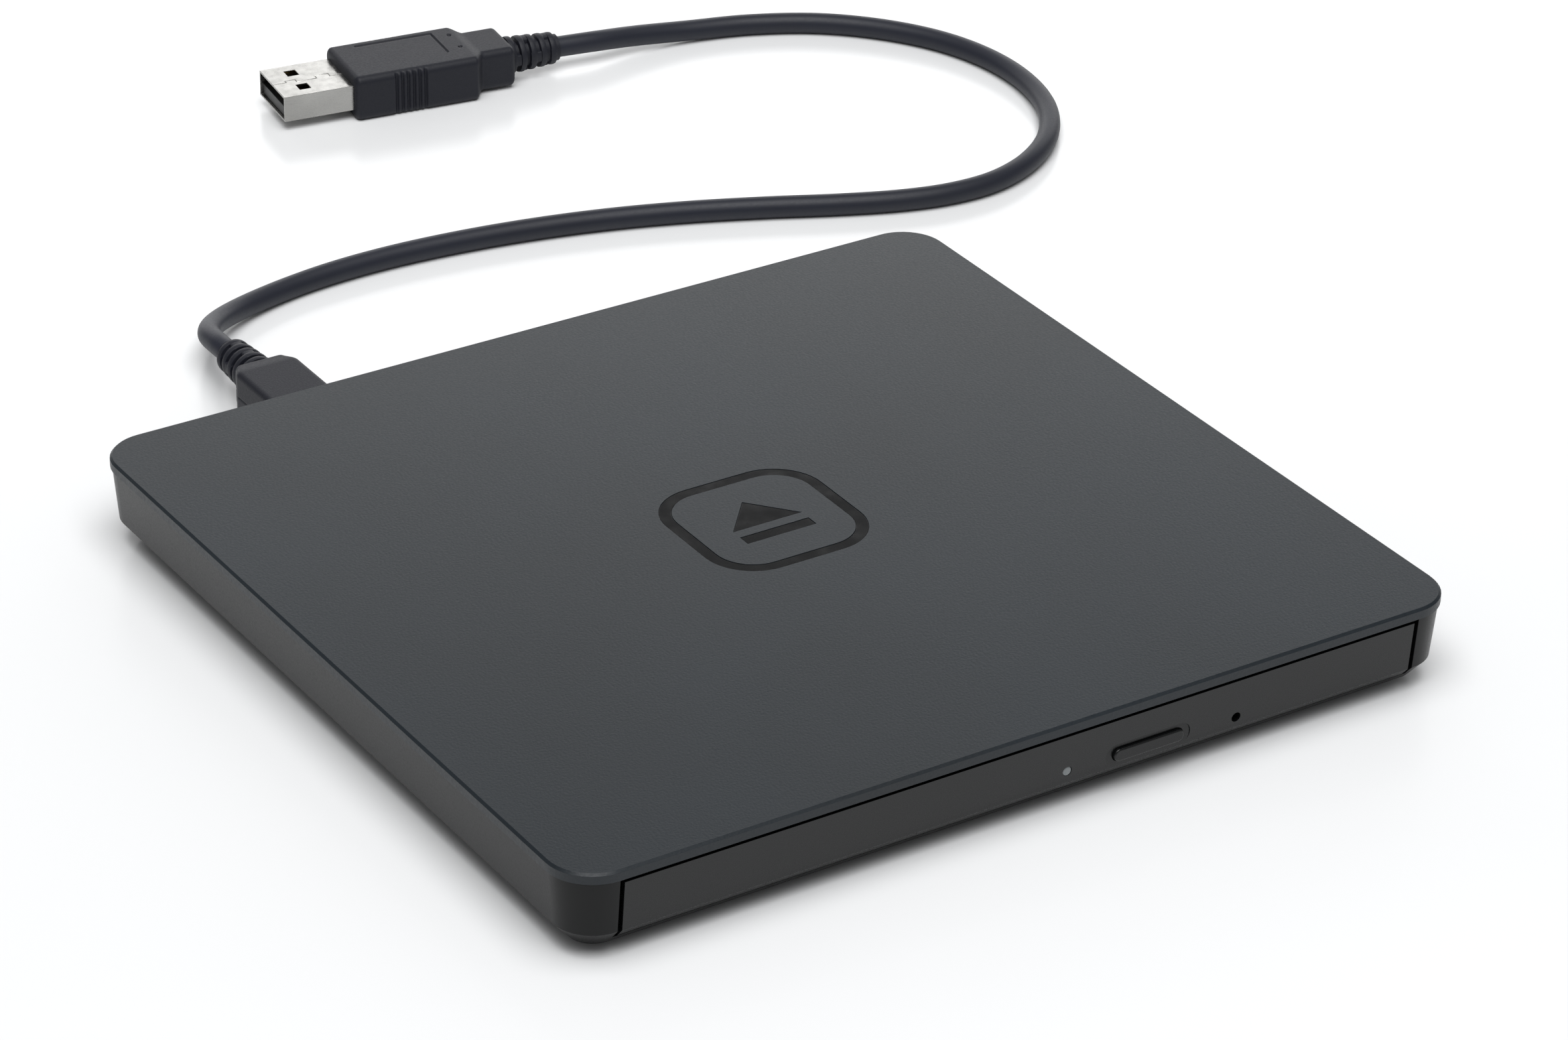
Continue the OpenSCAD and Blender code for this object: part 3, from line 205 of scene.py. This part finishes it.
ROUTE = MM * (np.array(cord_start) + RUN)
CORD_D = 3.6 * MM
turn = np.linspace(0, 2 * np.pi, 28, endpoint=False)
circle = np.stack([np.cos(turn), np.sin(turn)], 1)
cord_line = catmull_rom(ROUTE, 8)
cord = add_piece("cord_jacket", ring_mesh("cord_jacket", along_line(cord_line, circle * CORD_D / 2)), "cord")

# %% [markdown]
# A moulded grip is a box with soft corners, and its outline changes along its length. Extruding a
# rectangle and bevelling it would give the box, but not the shoulder, the ribs and the engraved
# line. So each ring walks round a rectangle at even steps, and its corners are then rounded.

# %% Soft-cornered outlines


def soft_box(width, height, radius, count):
    """Rings round width x height rectangles (one row each). Points are spaced evenly on the rectangle, drawn
    in to the rectangle that is radius smaller on each side, and pushed out again by radius."""
    w, h = width.max(), height.max()
    corners = np.array([[1, -1], [1, 1], [-1, 1], [-1, -1], [1, -1]]) * [w / 2, h / 2]
    walked = np.array([0, h, h + w, 2 * h + w, 2 * h + 2 * w])
    step = np.linspace(0, walked[-1], count, endpoint=False)
    side = np.interp(step, walked, corners[:, 0])[None] * width[:, None] / w
    tall = np.interp(step, walked, corners[:, 1])[None] * height[:, None] / h
    inner_w, inner_h = width[:, None] / 2 - radius[:, None], height[:, None] / 2 - radius[:, None]
    core = np.stack([np.clip(side, -inner_w, inner_w), np.clip(tall, -inner_h, inner_h)], -1)
    away = np.stack([side, tall], -1) - core
    away = away / np.maximum(np.linalg.norm(away, axis=-1, keepdims=True), 1e-9)
    return core + away * radius[:, None, None], away


def ease(x, start, end):
    """0 before start, 1 after end, and 3 t^2 - 2 t^3 between."""
    t = np.clip((x - start) / (end - start), 0, 1)
    return t * t * (3 - 2 * t)


def end_round(x, start, end, radius):
    """How far a face has drawn in at d from its nearer end, as a quarter circle does:
    radius - sqrt(radius^2 - (radius - d)^2)."""
    d = np.minimum(np.minimum(np.abs(x - start), np.abs(x - end)), radius)
    return radius - np.sqrt(radius**2 - (radius - d) ** 2)


def groove(distance, half_width, depth):
    """Depth of a round-bottomed groove: depth x (1 - (distance / half width)^2), and 0 outside it."""
    return depth * np.clip(1 - (distance / half_width) ** 2, 0, 1)


def to_frame(points, origin, heading):
    """Turns points by heading about +Z and moves them to origin: x along the plug, y across it, z up."""
    c, s = np.cos(heading), np.sin(heading)
    return points @ np.array([[c, s, 0], [-s, c, 0], [0, 0, 1]]) + origin


# %% [markdown]
# The USB-A plug's grip is 30 mm long: a flat body, a shoulder that draws in, and a neck. Six ribs
# on each side let fingers pull it. A fine engraved line and two small dimples mark its top face.

# %% USB-A grip
USB_AT = MM * (np.array(cord_start) + [64.2, 82.8, 4.0])
USB_TURN = np.radians(172.5)
GRIP_L, GRIP_W, GRIP_H = 30.0, 15.0, 8.0
SHOULDER_FROM, SHOULDER_TO = 21.8, 24.0
NECK_W, NECK_H, END_R = 10.4, 7.2, 0.9
x = -np.linspace(0, GRIP_L, 260)
drawn = ease(-x, SHOULDER_FROM, SHOULDER_TO)
inset = end_round(x, 0, -GRIP_L, END_R)
width = GRIP_W - (GRIP_W - NECK_W) * drawn - 2 * inset
height = GRIP_H - (GRIP_H - NECK_H) * drawn - 2 * inset
outline, away = soft_box(width, height, 1.25 - 0.35 * inset, 220)
across, tall = outline[..., 0], outline[..., 1]
along = np.broadcast_to(x[:, None], across.shape)

RIBS, RIB_PITCH, FIRST_RIB = 6, 1.05, -7.3
RIB_HALF, RIB_DEPTH = 0.36, 0.45
rib_at = FIRST_RIB - RIB_PITCH * np.clip(np.round((FIRST_RIB - along) / RIB_PITCH), 0, RIBS - 1)
ribs = groove(along - rib_at, RIB_HALF, RIB_DEPTH) * (np.abs(away[..., 0]) ** 2)

LINE_Y, LINE_X0, LINE_X1, LINE_Y1 = -5.2, -4.6, -18.4, 2.8
long_leg = np.hypot(np.clip(LINE_X1 - along, 0, None) + np.clip(along - LINE_X0, 0, None), across - LINE_Y)
cross_leg = np.hypot(along - LINE_X1, np.clip(LINE_Y - across, 0, None) + np.clip(across - LINE_Y1, 0, None))
engraved = groove(np.minimum(long_leg, cross_leg), 0.24, 0.3)
DIMPLE_X, DIMPLE_Y, DIMPLE_R = -21.1, (-3.4, 1.7), 0.42
dimples = sum(groove(np.hypot(along - DIMPLE_X, across - y), DIMPLE_R, 0.5) for y in DIMPLE_Y)
on_top = (away[..., 1] > 0.98).astype(float)

rings = np.stack([along, across - away[..., 0] * ribs, tall - on_top * (engraved + dimples)], -1)
usb_grip = add_piece(
    "usb_grip_moulding", ring_mesh("usb_grip", to_frame(rings * MM, USB_AT, USB_TURN), 50), "usb_grip"
)
print("usb grip faces", len(usb_grip.data.polygons))

# %% [markdown]
# A strain relief keeps the cord from kinking where it leaves a grip. It is a sleeve cut by slots,
# so that it bends: rings joined by two short ties, which change sides from slot to slot. It could
# be cut with booleans. A radius that depends on the place along it and round it is simpler.

# %% Strain reliefs
RELIEF_L, RELIEF_R, RINGS, RING_SHARE, TAPER = 9.5, 3.3, 5, 0.62, 0.12


def relief_rings():
    """Radius at place s and angle a: the ring's own inside a ring or a tie, else the core's. A tie is
    where |sin a| is small in even slots and |cos a| in odd ones."""
    pitch = RELIEF_L / RINGS
    s = np.linspace(0, RELIEF_L, 240)[:, None]
    a = np.linspace(0, 2 * np.pi, 112, endpoint=False)[None]
    number = np.minimum(np.floor(s / pitch), RINGS - 1)
    inside = s / pitch - number
    outer = RELIEF_R - TAPER * number
    core = CORD_D / MM / 2 + 0.5
    tie = np.where(number % 2 == 0, np.abs(np.sin(a)), np.abs(np.cos(a)))
    edge = 0.06  # share of the pitch over which a ring's side rises
    ring = ease(inside, 0, edge) * (1 - ease(inside, RING_SHARE - edge, RING_SHARE))
    bridge = (1 - ease(tie, 0.3, 0.42)) * (s < RELIEF_L - pitch * (1 - RING_SHARE))
    ring = np.maximum(ring, bridge)
    rounding = 0.12 * (1 - np.clip(4 * inside * (RING_SHARE - inside) / RING_SHARE**2, 0, 1)) * ring
    radius = core + (outer - core) * ring - rounding
    return np.stack([np.broadcast_to(s, radius.shape), radius * np.cos(a), radius * np.sin(a)], -1)


sleeve = relief_rings()
mirrored = sleeve * [-1, 1, 1] - [GRIP_L, 0, 0]
usb_relief = add_piece(
    "usb_relief_sleeve", ring_mesh("usb_relief", to_frame(mirrored * MM, USB_AT, USB_TURN), 40), "usb_relief"
)
rear_low, rear_high = box_mm("rear_relief")
rear_axis = (rear_low + rear_high) / 2
rear_start = np.array([rear_axis[0], rear_low[1], rear_axis[2]])
rear_relief = add_piece(
    "rear_relief_sleeve",
    ring_mesh("rear_relief", to_frame(sleeve * MM, rear_start * MM, np.pi / 2), 40),
    "rear_relief",
)
print("relief faces", len(usb_relief.data.polygons))

# %% [markdown]
# The rear plug's grip is a plain block with bevelled corners, a parting line round its middle where
# the two halves of the mould met, and a rounded shoulder towards the strain relief.

# %% Rear grip
grip_low, grip_high = box_mm("rear_grip")
grip_l, grip_w, grip_h = (grip_high - grip_low)[[1, 0, 2]]
x = np.linspace(0, grip_l, 170)
inset = end_round(x, 0, grip_l, 0.6)
shoulder = ease(x, grip_l - 3.2, grip_l)
width = grip_w - 2.2 * shoulder - 2 * inset
height = grip_h - 0.6 * shoulder - 2 * inset
outline, away = soft_box(width, height, np.full(len(x), 0.9), 160)
along = np.broadcast_to(x[:, None], outline.shape[:2])
parting = groove(outline[..., 1] + 0.5, 0.16, 0.12) * np.abs(away[..., 0])
rings = np.stack([along, outline[..., 0] - away[..., 0] * parting, outline[..., 1]], -1)
grip_start = np.array([(grip_low[0] + grip_high[0]) / 2, grip_low[1], (grip_low[2] + grip_high[2]) / 2])
placed = to_frame(rings * MM, grip_start * MM, np.pi / 2)
rear_grip = add_piece("rear_grip_moulding", ring_mesh("rear_grip", placed, 50), "rear_grip")
print("rear grip size in mm", np.round(grip_high - grip_low, 2))

# %% [markdown]
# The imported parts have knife-sharp edges. A moulded or pressed edge is never that sharp: it has a
# small radius, and the bright line that runs along it tells the eye how big the object is. A copy
# of each part gets its triangles merged into whole faces, then a Bevel modifier rounds each edge.

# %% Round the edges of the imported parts
EDGE_SEGMENTS = 2


def whole_faces(node):
    """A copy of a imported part's mesh with doubled points merged and flat neighbours joined into one face."""
    made = bmesh.new()
    made.from_mesh(frame["nodes"][node].data)
    bmesh.ops.remove_doubles(made, verts=made.verts, dist=0.001 * MM)
    bmesh.ops.dissolve_limit(made, angle_limit=np.radians(0.5), verts=made.verts, edges=made.edges)
    mesh = bpy.data.meshes.new(node)
    made.verts.index_update()
    points = [v.co[:] for v in made.verts]
    mesh.from_pydata(points, [], [[v.index for v in f.verts] for f in made.faces])
    made.free()
    return mesh


def rounded_copy(node, radius_mm, name=None):
    """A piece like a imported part, with every edge sharper than 30 degrees rounded to that radius."""
    piece = add_piece(name or node + "_finished", finish_mesh(whole_faces(node), 30), node)
    bevel = piece.modifiers.new("edges", "BEVEL")
    bevel.width = radius_mm * MM
    bevel.segments = EDGE_SEGMENTS
    bevel.limit_method = "ANGLE"
    bevel.angle_limit = np.radians(30)
    bevel.harden_normals = True
    return piece


EDGE_RADII = {
    "lid": 0.12, "lid_mark": 0.06, "base_shell": 0.14, "bezel": 0.14, "eject_button": 0.3, "feet": 0.3,
    "housing_screws": 0.08, "usb_shell": 0.12, "usb_tongue": 0.08, "rear_plug_shell": 0.06,
    "tray": 0.12, "turntable": 0.15, "clamp_pawl_1": 0.1, "clamp_pawl_2": 0.1, "clamp_pawl_3": 0.1,
    "pickup_sled": 0.12, "lens_holder": 0.12, "spindle_rotor": 0.1, "drive_cover": 0.06, "drive_pan": 0.06,
    "rail_left": 0.15, "rail_right": 0.15, "rail_guides": 0.08, "tray_cover": 0.05, "traverse_plate": 0.06,
    "cover_screws": 0.06, "tray_screws": 0.06, "latch_lever": 0.12, "release_slide": 0.1, "solenoid": 0.15,
    "usb_socket": 0.05, "sata_plug": 0.08, "sata_socket": 0.08, "tray_chips": 0.05, "bridge_chips": 0.05,
}
finished = {node: rounded_copy(node, radius) for node, radius in EDGE_RADII.items()}
print("parts with rounded edges", len(finished))

# %% [markdown]
# The lamp's window is a small domed light pipe. Turning a profile round the pipe's axis makes it:
# straight behind, and a shallow dome in front.

# %% Lamp window
lamp_low, lamp_high = box_mm("lamp_window")
lamp_axis = (lamp_low + lamp_high) / 2
lamp_r = (lamp_high[0] - lamp_low[0]) / 2
dome = np.linspace(0.08, 1, 10)
depth = np.concatenate([0.25 * (1 - np.sqrt(1 - (dome * 0.9) ** 2)), [lamp_high[1] - lamp_low[1]]])
radius = np.concatenate([dome, [1.0]]) * lamp_r
rings = np.stack([
    lamp_axis[0] + radius[:, None] * circle[None, :, 0],
    np.broadcast_to(lamp_low[1] + depth[:, None], (len(depth), len(circle))),
    lamp_axis[2] + radius[:, None] * circle[None, :, 1],
], -1)
lamp = add_piece("lamp_dome", ring_mesh("lamp_dome", rings * MM, 50), "lamp_window")
print("lamp radius in mm", round(lamp_r, 2))

# %% [markdown]
# A flat cable joins the moving tray to the fixed board. It runs along the case's floor, folds back
# and runs under the tray. This strip is tied to neither body, and its points are baked in place. On
# the real drive the fold also rolls forward by half the tray's travel, and here it stays where it is,
# so with the tray halfway out the upper run is drawn too short.

# %% Flat cable
flex_low, flex_high = box_mm("ribbon")
FLEX_T = 0.12
FLEX_LOW, FLEX_HIGH = flex_low[2] + FLEX_T / 2, box_mm("tray")[0][2] - 0.05 - FLEX_T / 2
fold_r = (FLEX_HIGH - FLEX_LOW) / 2
fold_y = flex_low[1] + FLEX_T / 2 + fold_r
socket_y = box_mm("ribbon_socket")[0][1] + 2.0
flex_top = flex_high[2] - FLEX_T / 2
bend = np.linspace(-np.pi / 2, -3 * np.pi / 2, 13)[1:-1]
lower = np.linspace(flex_high[1], fold_y, 60)
upper = np.linspace(fold_y, box_mm("tray")[1][1] + 1.2 + FLEX_T / 2, 60)
flex_line = np.vstack([
    np.stack([lower, np.full(60, FLEX_LOW)], 1),
    np.stack([fold_y + fold_r * np.cos(bend), (FLEX_LOW + FLEX_HIGH) / 2 + fold_r * np.sin(bend)], 1),
    np.stack([upper, np.full(60, FLEX_HIGH)], 1),
    [[upper[-1], flex_top]],
    [[socket_y, flex_top]],
])
ahead = np.gradient(flex_line, axis=0)
normal = np.stack([-ahead[:, 1], ahead[:, 0]], 1)
normal = normal / np.linalg.norm(normal, axis=1, keepdims=True) * FLEX_T / 2
edges = np.stack([flex_line - normal, flex_line - normal, flex_line + normal, flex_line + normal], 1)
sides = np.array([flex_low[0], flex_high[0], flex_high[0], flex_low[0]])
rings = np.stack([np.broadcast_to(sides, edges.shape[:2]), edges[..., 0], edges[..., 1]], -1)
flex = add_piece("flat_cable", ring_mesh("flat_cable", rings * MM, 50), "ribbon", blended=True)
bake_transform(flex)
print("flat cable points", len(flex.data.vertices))

# %% [markdown]

print("cord declared, thickness in mm", round(CORD_D / MM, 1))

# %% [markdown]
# The materials come next. Each is made from nodes, and starts from what the real stuff is. One
# function turns a hex colour, as a paint chart gives it, into the linear values that light needs,
# and one adds a node with its settings and links.

# %% Colour and node tools


def linear(hex_colour):
    """sRGB hex to linear RGBA: c / 12.92 below 0.04045, else ((c + 0.055) / 1.055)^2.4."""
    c = np.array([int(hex_colour[i:i + 2], 16) / 255 for i in (1, 3, 5)])
    return [*np.where(c < 0.04045, c / 12.92, ((c + 0.055) / 1.055) ** 2.4), 1.0]


def add(tree, kind, inputs=None, **settings):
    """Adds a node. Each input gets a value, or a link where the value is another node's socket."""
    node = tree.nodes.new(kind)
    for key, value in settings.items():
        setattr(node, key, value)
    for key, value in (inputs or {}).items():
        if isinstance(value, bpy.types.NodeSocket):
            tree.links.new(value, node.inputs[key])
        else:
            node.inputs[key].default_value = value
    return node


def start_material(name, roughness, ior=1.5, metallic=0.0, **sockets):
    """A material with its shader's steady values set on the shader itself. Returns it with its tree, shader
    and place socket, which is each point's own place in the frame, in metres."""
    material = bpy.data.materials.new(name)
    material.use_nodes = True
    tree = material.node_tree
    tree.nodes.clear()
    steady = {"Roughness": roughness, "IOR": ior, "Metallic": metallic}
    steady.update({key.replace("_", " "): value for key, value in sockets.items()})
    shader = add(tree, "ShaderNodeBsdfPrincipled", steady)
    add(tree, "ShaderNodeOutputMaterial", {"Surface": shader.outputs[0]})
    place = add(tree, "ShaderNodeTexCoord").outputs["Object"]
    return material, tree, shader, place


def noise(tree, place, size_mm, detail=2.0, stretch=(1, 1, 1)):
    """Noise whose lumps are about that size. stretch makes them longer along an axis."""
    held = add(tree, "ShaderNodeMapping", {"Vector": place, "Scale": [1 / s for s in stretch]})
    lumps = {"Vector": held.outputs[0], "Scale": 1 / (size_mm * MM), "Detail": detail}
    return add(tree, "ShaderNodeTexNoise", lumps).outputs[0]


def spread(tree, value, low, high):
    """Maps noise, which stays near 0.5, from 0.3 .. 0.7 to low .. high."""
    levels = {"Value": value, "From Min": 0.3, "From Max": 0.7, "To Min": low, "To Max": high}
    return add(tree, "ShaderNodeMapRange", levels).outputs[0]


def tint(tree, shader, factor, dark, light):
    """Base colour between two hex colours."""
    mix = add(tree, "ShaderNodeMix", {0: factor, 6: linear(dark), 7: linear(light)}, data_type="RGBA")
    tree.links.new(mix.outputs[2], shader.inputs["Base Color"])


def relief_map(tree, shader, height, depth_mm):
    """Bump of that depth from a height between 0 and 1."""
    bump = add(tree, "ShaderNodeBump", {"Height": height, "Distance": depth_mm * MM, "Strength": 1.0})
    tree.links.new(bump.outputs[0], shader.inputs["Normal"])


def moulded(name, dark, light, rough, grain_mm, depth_mm, ior=1.53, **sockets):
    """A moulded plastic or rubber: slow drift between two close colours over 40 mm, where the flow cooled
    unevenly, fine grain in the surface, and roughness that follows the grain."""
    material, tree, shader, place = start_material(name, rough, ior, **sockets)
    tint(tree, shader, spread(tree, noise(tree, place, 40), 0, 1), dark, light)
    grain = noise(tree, place, grain_mm, 3)
    relief_map(tree, shader, grain, depth_mm)
    tree.links.new(spread(tree, grain, rough - 0.05, rough + 0.05), shader.inputs["Roughness"])
    return material


def metal(name, dark, light, rough, grain_mm, stretch, depth_mm):
    """A bare metal: brushed or rolled lines as noise stretched along one axis, in roughness and height."""
    material, tree, shader, place = start_material(name, rough, metallic=1.0)
    lines = noise(tree, place, grain_mm, 3, stretch)
    tint(tree, shader, spread(tree, noise(tree, place, 12), 0, 1), dark, light)
    tree.links.new(spread(tree, lines, rough - 0.08, rough + 0.1), shader.inputs["Roughness"])
    relief_map(tree, shader, lines, depth_mm)
    return material

# %% [markdown]
# The housing is ABS. The lid's mould was spark eroded, which leaves a fine leathery grain that
# breaks up reflections, so it looks like dark slate. The base's mould was only polished with stone,
# so its sides mirror the table softly. The bezel and button are the drive maker's own ABS, a little
# glossier. Grain this fine, 0.1 mm, is drawn two to four times as coarse so that it still shows. The
# specular levels are set lower than the IOR alone would give.

# %% Housing plastics
finishes = {}
finishes["lid"] = moulded(
    "spark_eroded_abs", "#10181e", "#141d24", 0.42, 0.38, 0.02, Specular_IOR_Level=0.42
)
finishes["base_shell"] = moulded(
    "stoned_abs", "#090a0b", "#0c0d0e", 0.34, 0.25, 0.002, Specular_IOR_Level=0.22
)
satin_abs = moulded("satin_abs", "#0d0e0f", "#111213", 0.26, 0.22, 0.0015, Specular_IOR_Level=0.35)
finishes["bezel"] = finishes["eject_button"] = satin_abs
print("housing", len(finishes))

# %% [markdown]
# The mark is a polished black acrylic inlay. Acrylic is smoother than ABS, with an IOR of 1.49, and
# only slow waves of a few micrometres disturb its mirror.

# %% Mark
finishes["lid_mark"] = moulded("polished_black_acrylic", "#060708", "#08090b", 0.12, 3.0, 0.004, ior=1.49)

# %% [markdown]
# The lead's jacket is soft PVC with a blue-grey tint. Its surface was drawn through a die, so it is
# smoother than the grips, which were moulded in a sand-blasted tool.

# %% Lead
finishes["cord"] = moulded("extruded_pvc", "#181b26", "#1d202c", 0.5, 0.3, 0.004, Specular_IOR_Level=0.4)
GRIP_NODES = ["usb_grip", "usb_relief", "rear_grip", "rear_relief"]
grip_pvc = moulded("sand_blasted_pvc", "#12141d", "#161822", 0.56, 0.28, 0.03, Specular_IOR_Level=0.35)
finishes.update({node: grip_pvc for node in GRIP_NODES})
finishes["usb_tongue"] = moulded("black_pbt", "#08090a", "#0c0d0e", 0.45, 0.3, 0.004)

# %% [markdown]
# Metals have no colour under their shine, so their base colour is what they mirror. Nickel plate is
# a warm light grey, zinc plate bluer with soft clouds, and machined steel has lines along its cut.

# %% Metals
nickel = metal("nickel_plate", "#9d9c99", "#b1b0ad", 0.24, 0.12, (14, 14, 1), 0.001)
zinc = metal("zinc_plated_sheet", "#9fa4a8", "#b6babd", 0.38, 0.3, (1, 10, 1), 0.002)
steel = metal("machined_steel", "#a9abad", "#bfc1c2", 0.28, 0.1, (1, 12, 1), 0.001)
gold = metal("gold_flash", "#c79a3c", "#dcb65c", 0.25, 0.1, (8, 8, 1), 0.001)
for node in ("usb_shell", "rear_plug_shell", "usb_socket", "eject_switch"):
    finishes[node] = nickel
for node in ("drive_pan", "drive_cover", "tray_cover", "traverse_plate", "stepper_motor", "spindle_rotor"):
    finishes[node] = zinc
for node in (
    "housing_screws", "cover_screws", "tray_screws", "latch_post", "guide_rods", "lead_screw", "rail_left",
    "rail_right", "rail_guides", "solenoid_plunger", "ejector",
):
    finishes[node] = steel
finishes["usb_contacts"] = gold

# %% [markdown]
# Inside, the tray is black ABS with a coarser grain, the feet are silicone rubber, and small moving
# parts are ivory acetal. Chips are matt epoxy, sockets are ivory nylon, and the dampers are brown.

# %% Mechanism plastics and rubbers
tray_abs = moulded("tray_abs", "#17191a", "#1c1e1f", 0.42, 0.5, 0.012)
acetal = moulded("ivory_acetal", "#c6c0b2", "#d2ccbf", 0.4, 0.4, 0.004)
nylon = moulded("ivory_nylon", "#c9c2ae", "#d6cfbc", 0.5, 0.4, 0.006)
epoxy = moulded("moulded_epoxy", "#0d0e0f", "#131415", 0.55, 0.2, 0.006)
finishes.update({node: tray_abs for node in ("tray", "turntable", "pickup_sled", "lens_holder")})
finishes.update({node: acetal for node in ("clamp_pawl_1", "clamp_pawl_2", "clamp_pawl_3")})
finishes.update({node: acetal for node in ("latch_lever", "release_slide")})
finishes.update({node: nylon for node in ("ribbon_socket", "rear_ribbon_socket")})
finishes.update({node: epoxy for node in ("bridge_chips", "tray_chips", "sata_plug", "sata_socket")})
finishes["feet"] = moulded("silicone_rubber", "#0d0e0e", "#131414", 0.75, 0.3, 0.02, ior=1.41)
finishes["dampers"] = moulded("damper_rubber", "#4a3022", "#5c3d2c", 0.7, 0.3, 0.02)
finishes["lamp_window"] = moulded("diffusing_polycarbonate", "#6d7274", "#7c8183", 0.3, 0.3, 0.003, ior=1.58)

# %% [markdown]
# A circuit board is glass fibre under green lacquer. Copper tracks under the lacquer stand a little
# proud and look lighter, and tinned pads break through it. Square cells of about a millimetre give
# the tracks, and a second pattern of round cells gives the pads.

# %% Circuit boards
lacquer, tree, shader, place = start_material("green_lacquered_board", 0.35, 1.55)
squares = {"Vector": place, "Scale": 1 / (2.2 * MM)}
cells = add(tree, "ShaderNodeTexVoronoi", squares, distance="CHEBYCHEV", feature="F1")
bands = add(tree, "ShaderNodeMath", {0: cells.outputs["Distance"], 1: 22.0}, operation="MULTIPLY")
waves = add(tree, "ShaderNodeMath", {0: bands.outputs[0]}, operation="SINE")
tracks = add(tree, "ShaderNodeMath", {0: waves.outputs[0], 1: 0.1}, operation="GREATER_THAN").outputs[0]
dots = add(tree, "ShaderNodeTexVoronoi", {"Vector": place, "Scale": 1 / (1.6 * MM)})
pads = add(tree, "ShaderNodeMath", {0: dots.outputs["Distance"], 1: 0.16}, operation="LESS_THAN").outputs[0]
greens = {0: tracks, 6: linear("#0f3a22"), 7: linear("#1c5c38")}
green = add(tree, "ShaderNodeMix", greens, data_type="RGBA").outputs[2]
tinned = add(tree, "ShaderNodeMix", {0: pads, 6: green, 7: linear("#b9bbb8")}, data_type="RGBA")
tree.links.new(tinned.outputs[2], shader.inputs["Base Color"])
relief_map(tree, shader, tracks, 0.03)
finishes.update({node: lacquer for node in ("main_board", "bridge_board", "tray_board")})

# %% [markdown]
# Motor and solenoid windings are enamelled copper wire about 0.2 mm thick, lying turn by turn. A
# wave pattern along Y with that spacing gives the turns in colour and height.

# %% Windings
winding, tree, shader, place = start_material("enamelled_copper_wire", 0.3, metallic=0.6)
turns = {"Vector": place, "Scale": 1 / (0.25 * MM) / 20, "Distortion": 0.4}
wound = add(tree, "ShaderNodeTexWave", turns, bands_direction="Y").outputs[1]
tint(tree, shader, wound, "#6e3417", "#b5652f")
relief_map(tree, shader, wound, 0.06)
finishes["motor_stator"] = finishes["solenoid"] = winding

# %% [markdown]
# The flat cable is white polyester with dark copper lines every half millimetre, side by side
# along its length, so the lines are a pattern across X.

# %% Flat cable's finish
polyester, tree, shader, place = start_material("polyester_flat_cable", 0.45, 1.57)
lines = {"Vector": place, "Scale": 1 / (0.5 * MM) / 20}
cores = add(tree, "ShaderNodeTexWave", lines, bands_direction="X").outputs[1]
tint(tree, shader, cores, "#b9b6ac", "#e6e3da")
relief_map(tree, shader, cores, 0.02)
finishes["ribbon"] = polyester

# %% [markdown]
# The pickup's lens is coated glass or clear resin. It lets light through, and its thin coating
# gives a bluish gloss, so it is a transmitting shader with a blue tint and a few polishing marks.

# %% Lens
glass, tree, shader, place = start_material("coated_lens_glass", 0.03, 1.52, Transmission_Weight=0.9)
tint(tree, shader, spread(tree, noise(tree, place, 0.8), 0, 1), "#8fb2d8", "#a9c6e6")
relief_map(tree, shader, noise(tree, place, 0.5), 0.001)
finishes["lens"] = glass

# %% [markdown]
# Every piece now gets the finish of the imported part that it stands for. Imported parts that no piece
# replaces are shown themselves, so they get theirs in the same way.

# %% Put the finishes on
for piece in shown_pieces():
    node = piece.get("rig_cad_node") or list(piece["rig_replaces"])[0]
    piece.data.materials.clear()
    piece.data.materials.append(finishes[node])
    piece.data.polygons.foreach_set("material_index", np.zeros(len(piece.data.polygons), np.int32))
print("finishes", len({m.name for m in finishes.values()}))

# %% [markdown]
# The set is a white table under a big soft light, as in a catalogue. The table is nearly pure
# white, so the dark sides mirror it. A low wide panel behind the drive, on the far side from the
# camera, puts a slow gradient on the lid's grain. The camera doesn't see the panels themselves.

# %% Table and lights
table_half = 6.0
corners = table_half * np.array([[-1, -1, 0], [1, -1, 0], [1, 1, 0], [-1, 1, 0]], float)
table_mesh = bpy.data.meshes.new("table")
table_mesh.from_pydata(corners.tolist(), [], [[0, 1, 2, 3]])
table = bpy.data.objects.new("table", table_mesh)
bpy.context.scene.collection.objects.link(table)
laminate, tree, shader, place = start_material("white_laminate", 0.22, 1.5)
tint(tree, shader, spread(tree, noise(tree, place, 300), 0, 1), "#f2f3f4", "#f6f7f8")
table_mesh.materials.append(laminate)

world = bpy.data.worlds.new("studio")
bpy.context.scene.world = world
world.use_nodes = True
world.node_tree.nodes["Background"].inputs["Color"].default_value = linear("#ffffff")
world.node_tree.nodes["Background"].inputs["Strength"].default_value = 0.25


def add_panel(name, place, aim, width, height, watts):
    """A soft rectangular light of that size in metres at place, facing aim."""
    light = bpy.data.lights.new(name, "AREA")
    light.shape, light.size, light.size_y, light.energy = "RECTANGLE", width, height, watts
    panel = bpy.data.objects.new(name, light)
    panel.location = place
    panel.rotation_mode = "QUATERNION"
    panel.rotation_quaternion = (Vector(aim) - Vector(place)).to_track_quat("-Z", "Y")
    panel.visible_camera = False
    bpy.context.scene.collection.objects.link(panel)
    return panel


add_panel("overhead", (-0.15, -0.25, 1.1), (0, 0.05, 0), 1.0, 1.0, 14)
add_panel("back", (0.257, 0.503, 0.14), (0, 0.07, 0.03), 0.8, 0.24, 1.1)
bpy.context.scene.view_settings.view_transform = "Standard"
print("table and lights placed, materials on the table", len(table_mesh.materials))
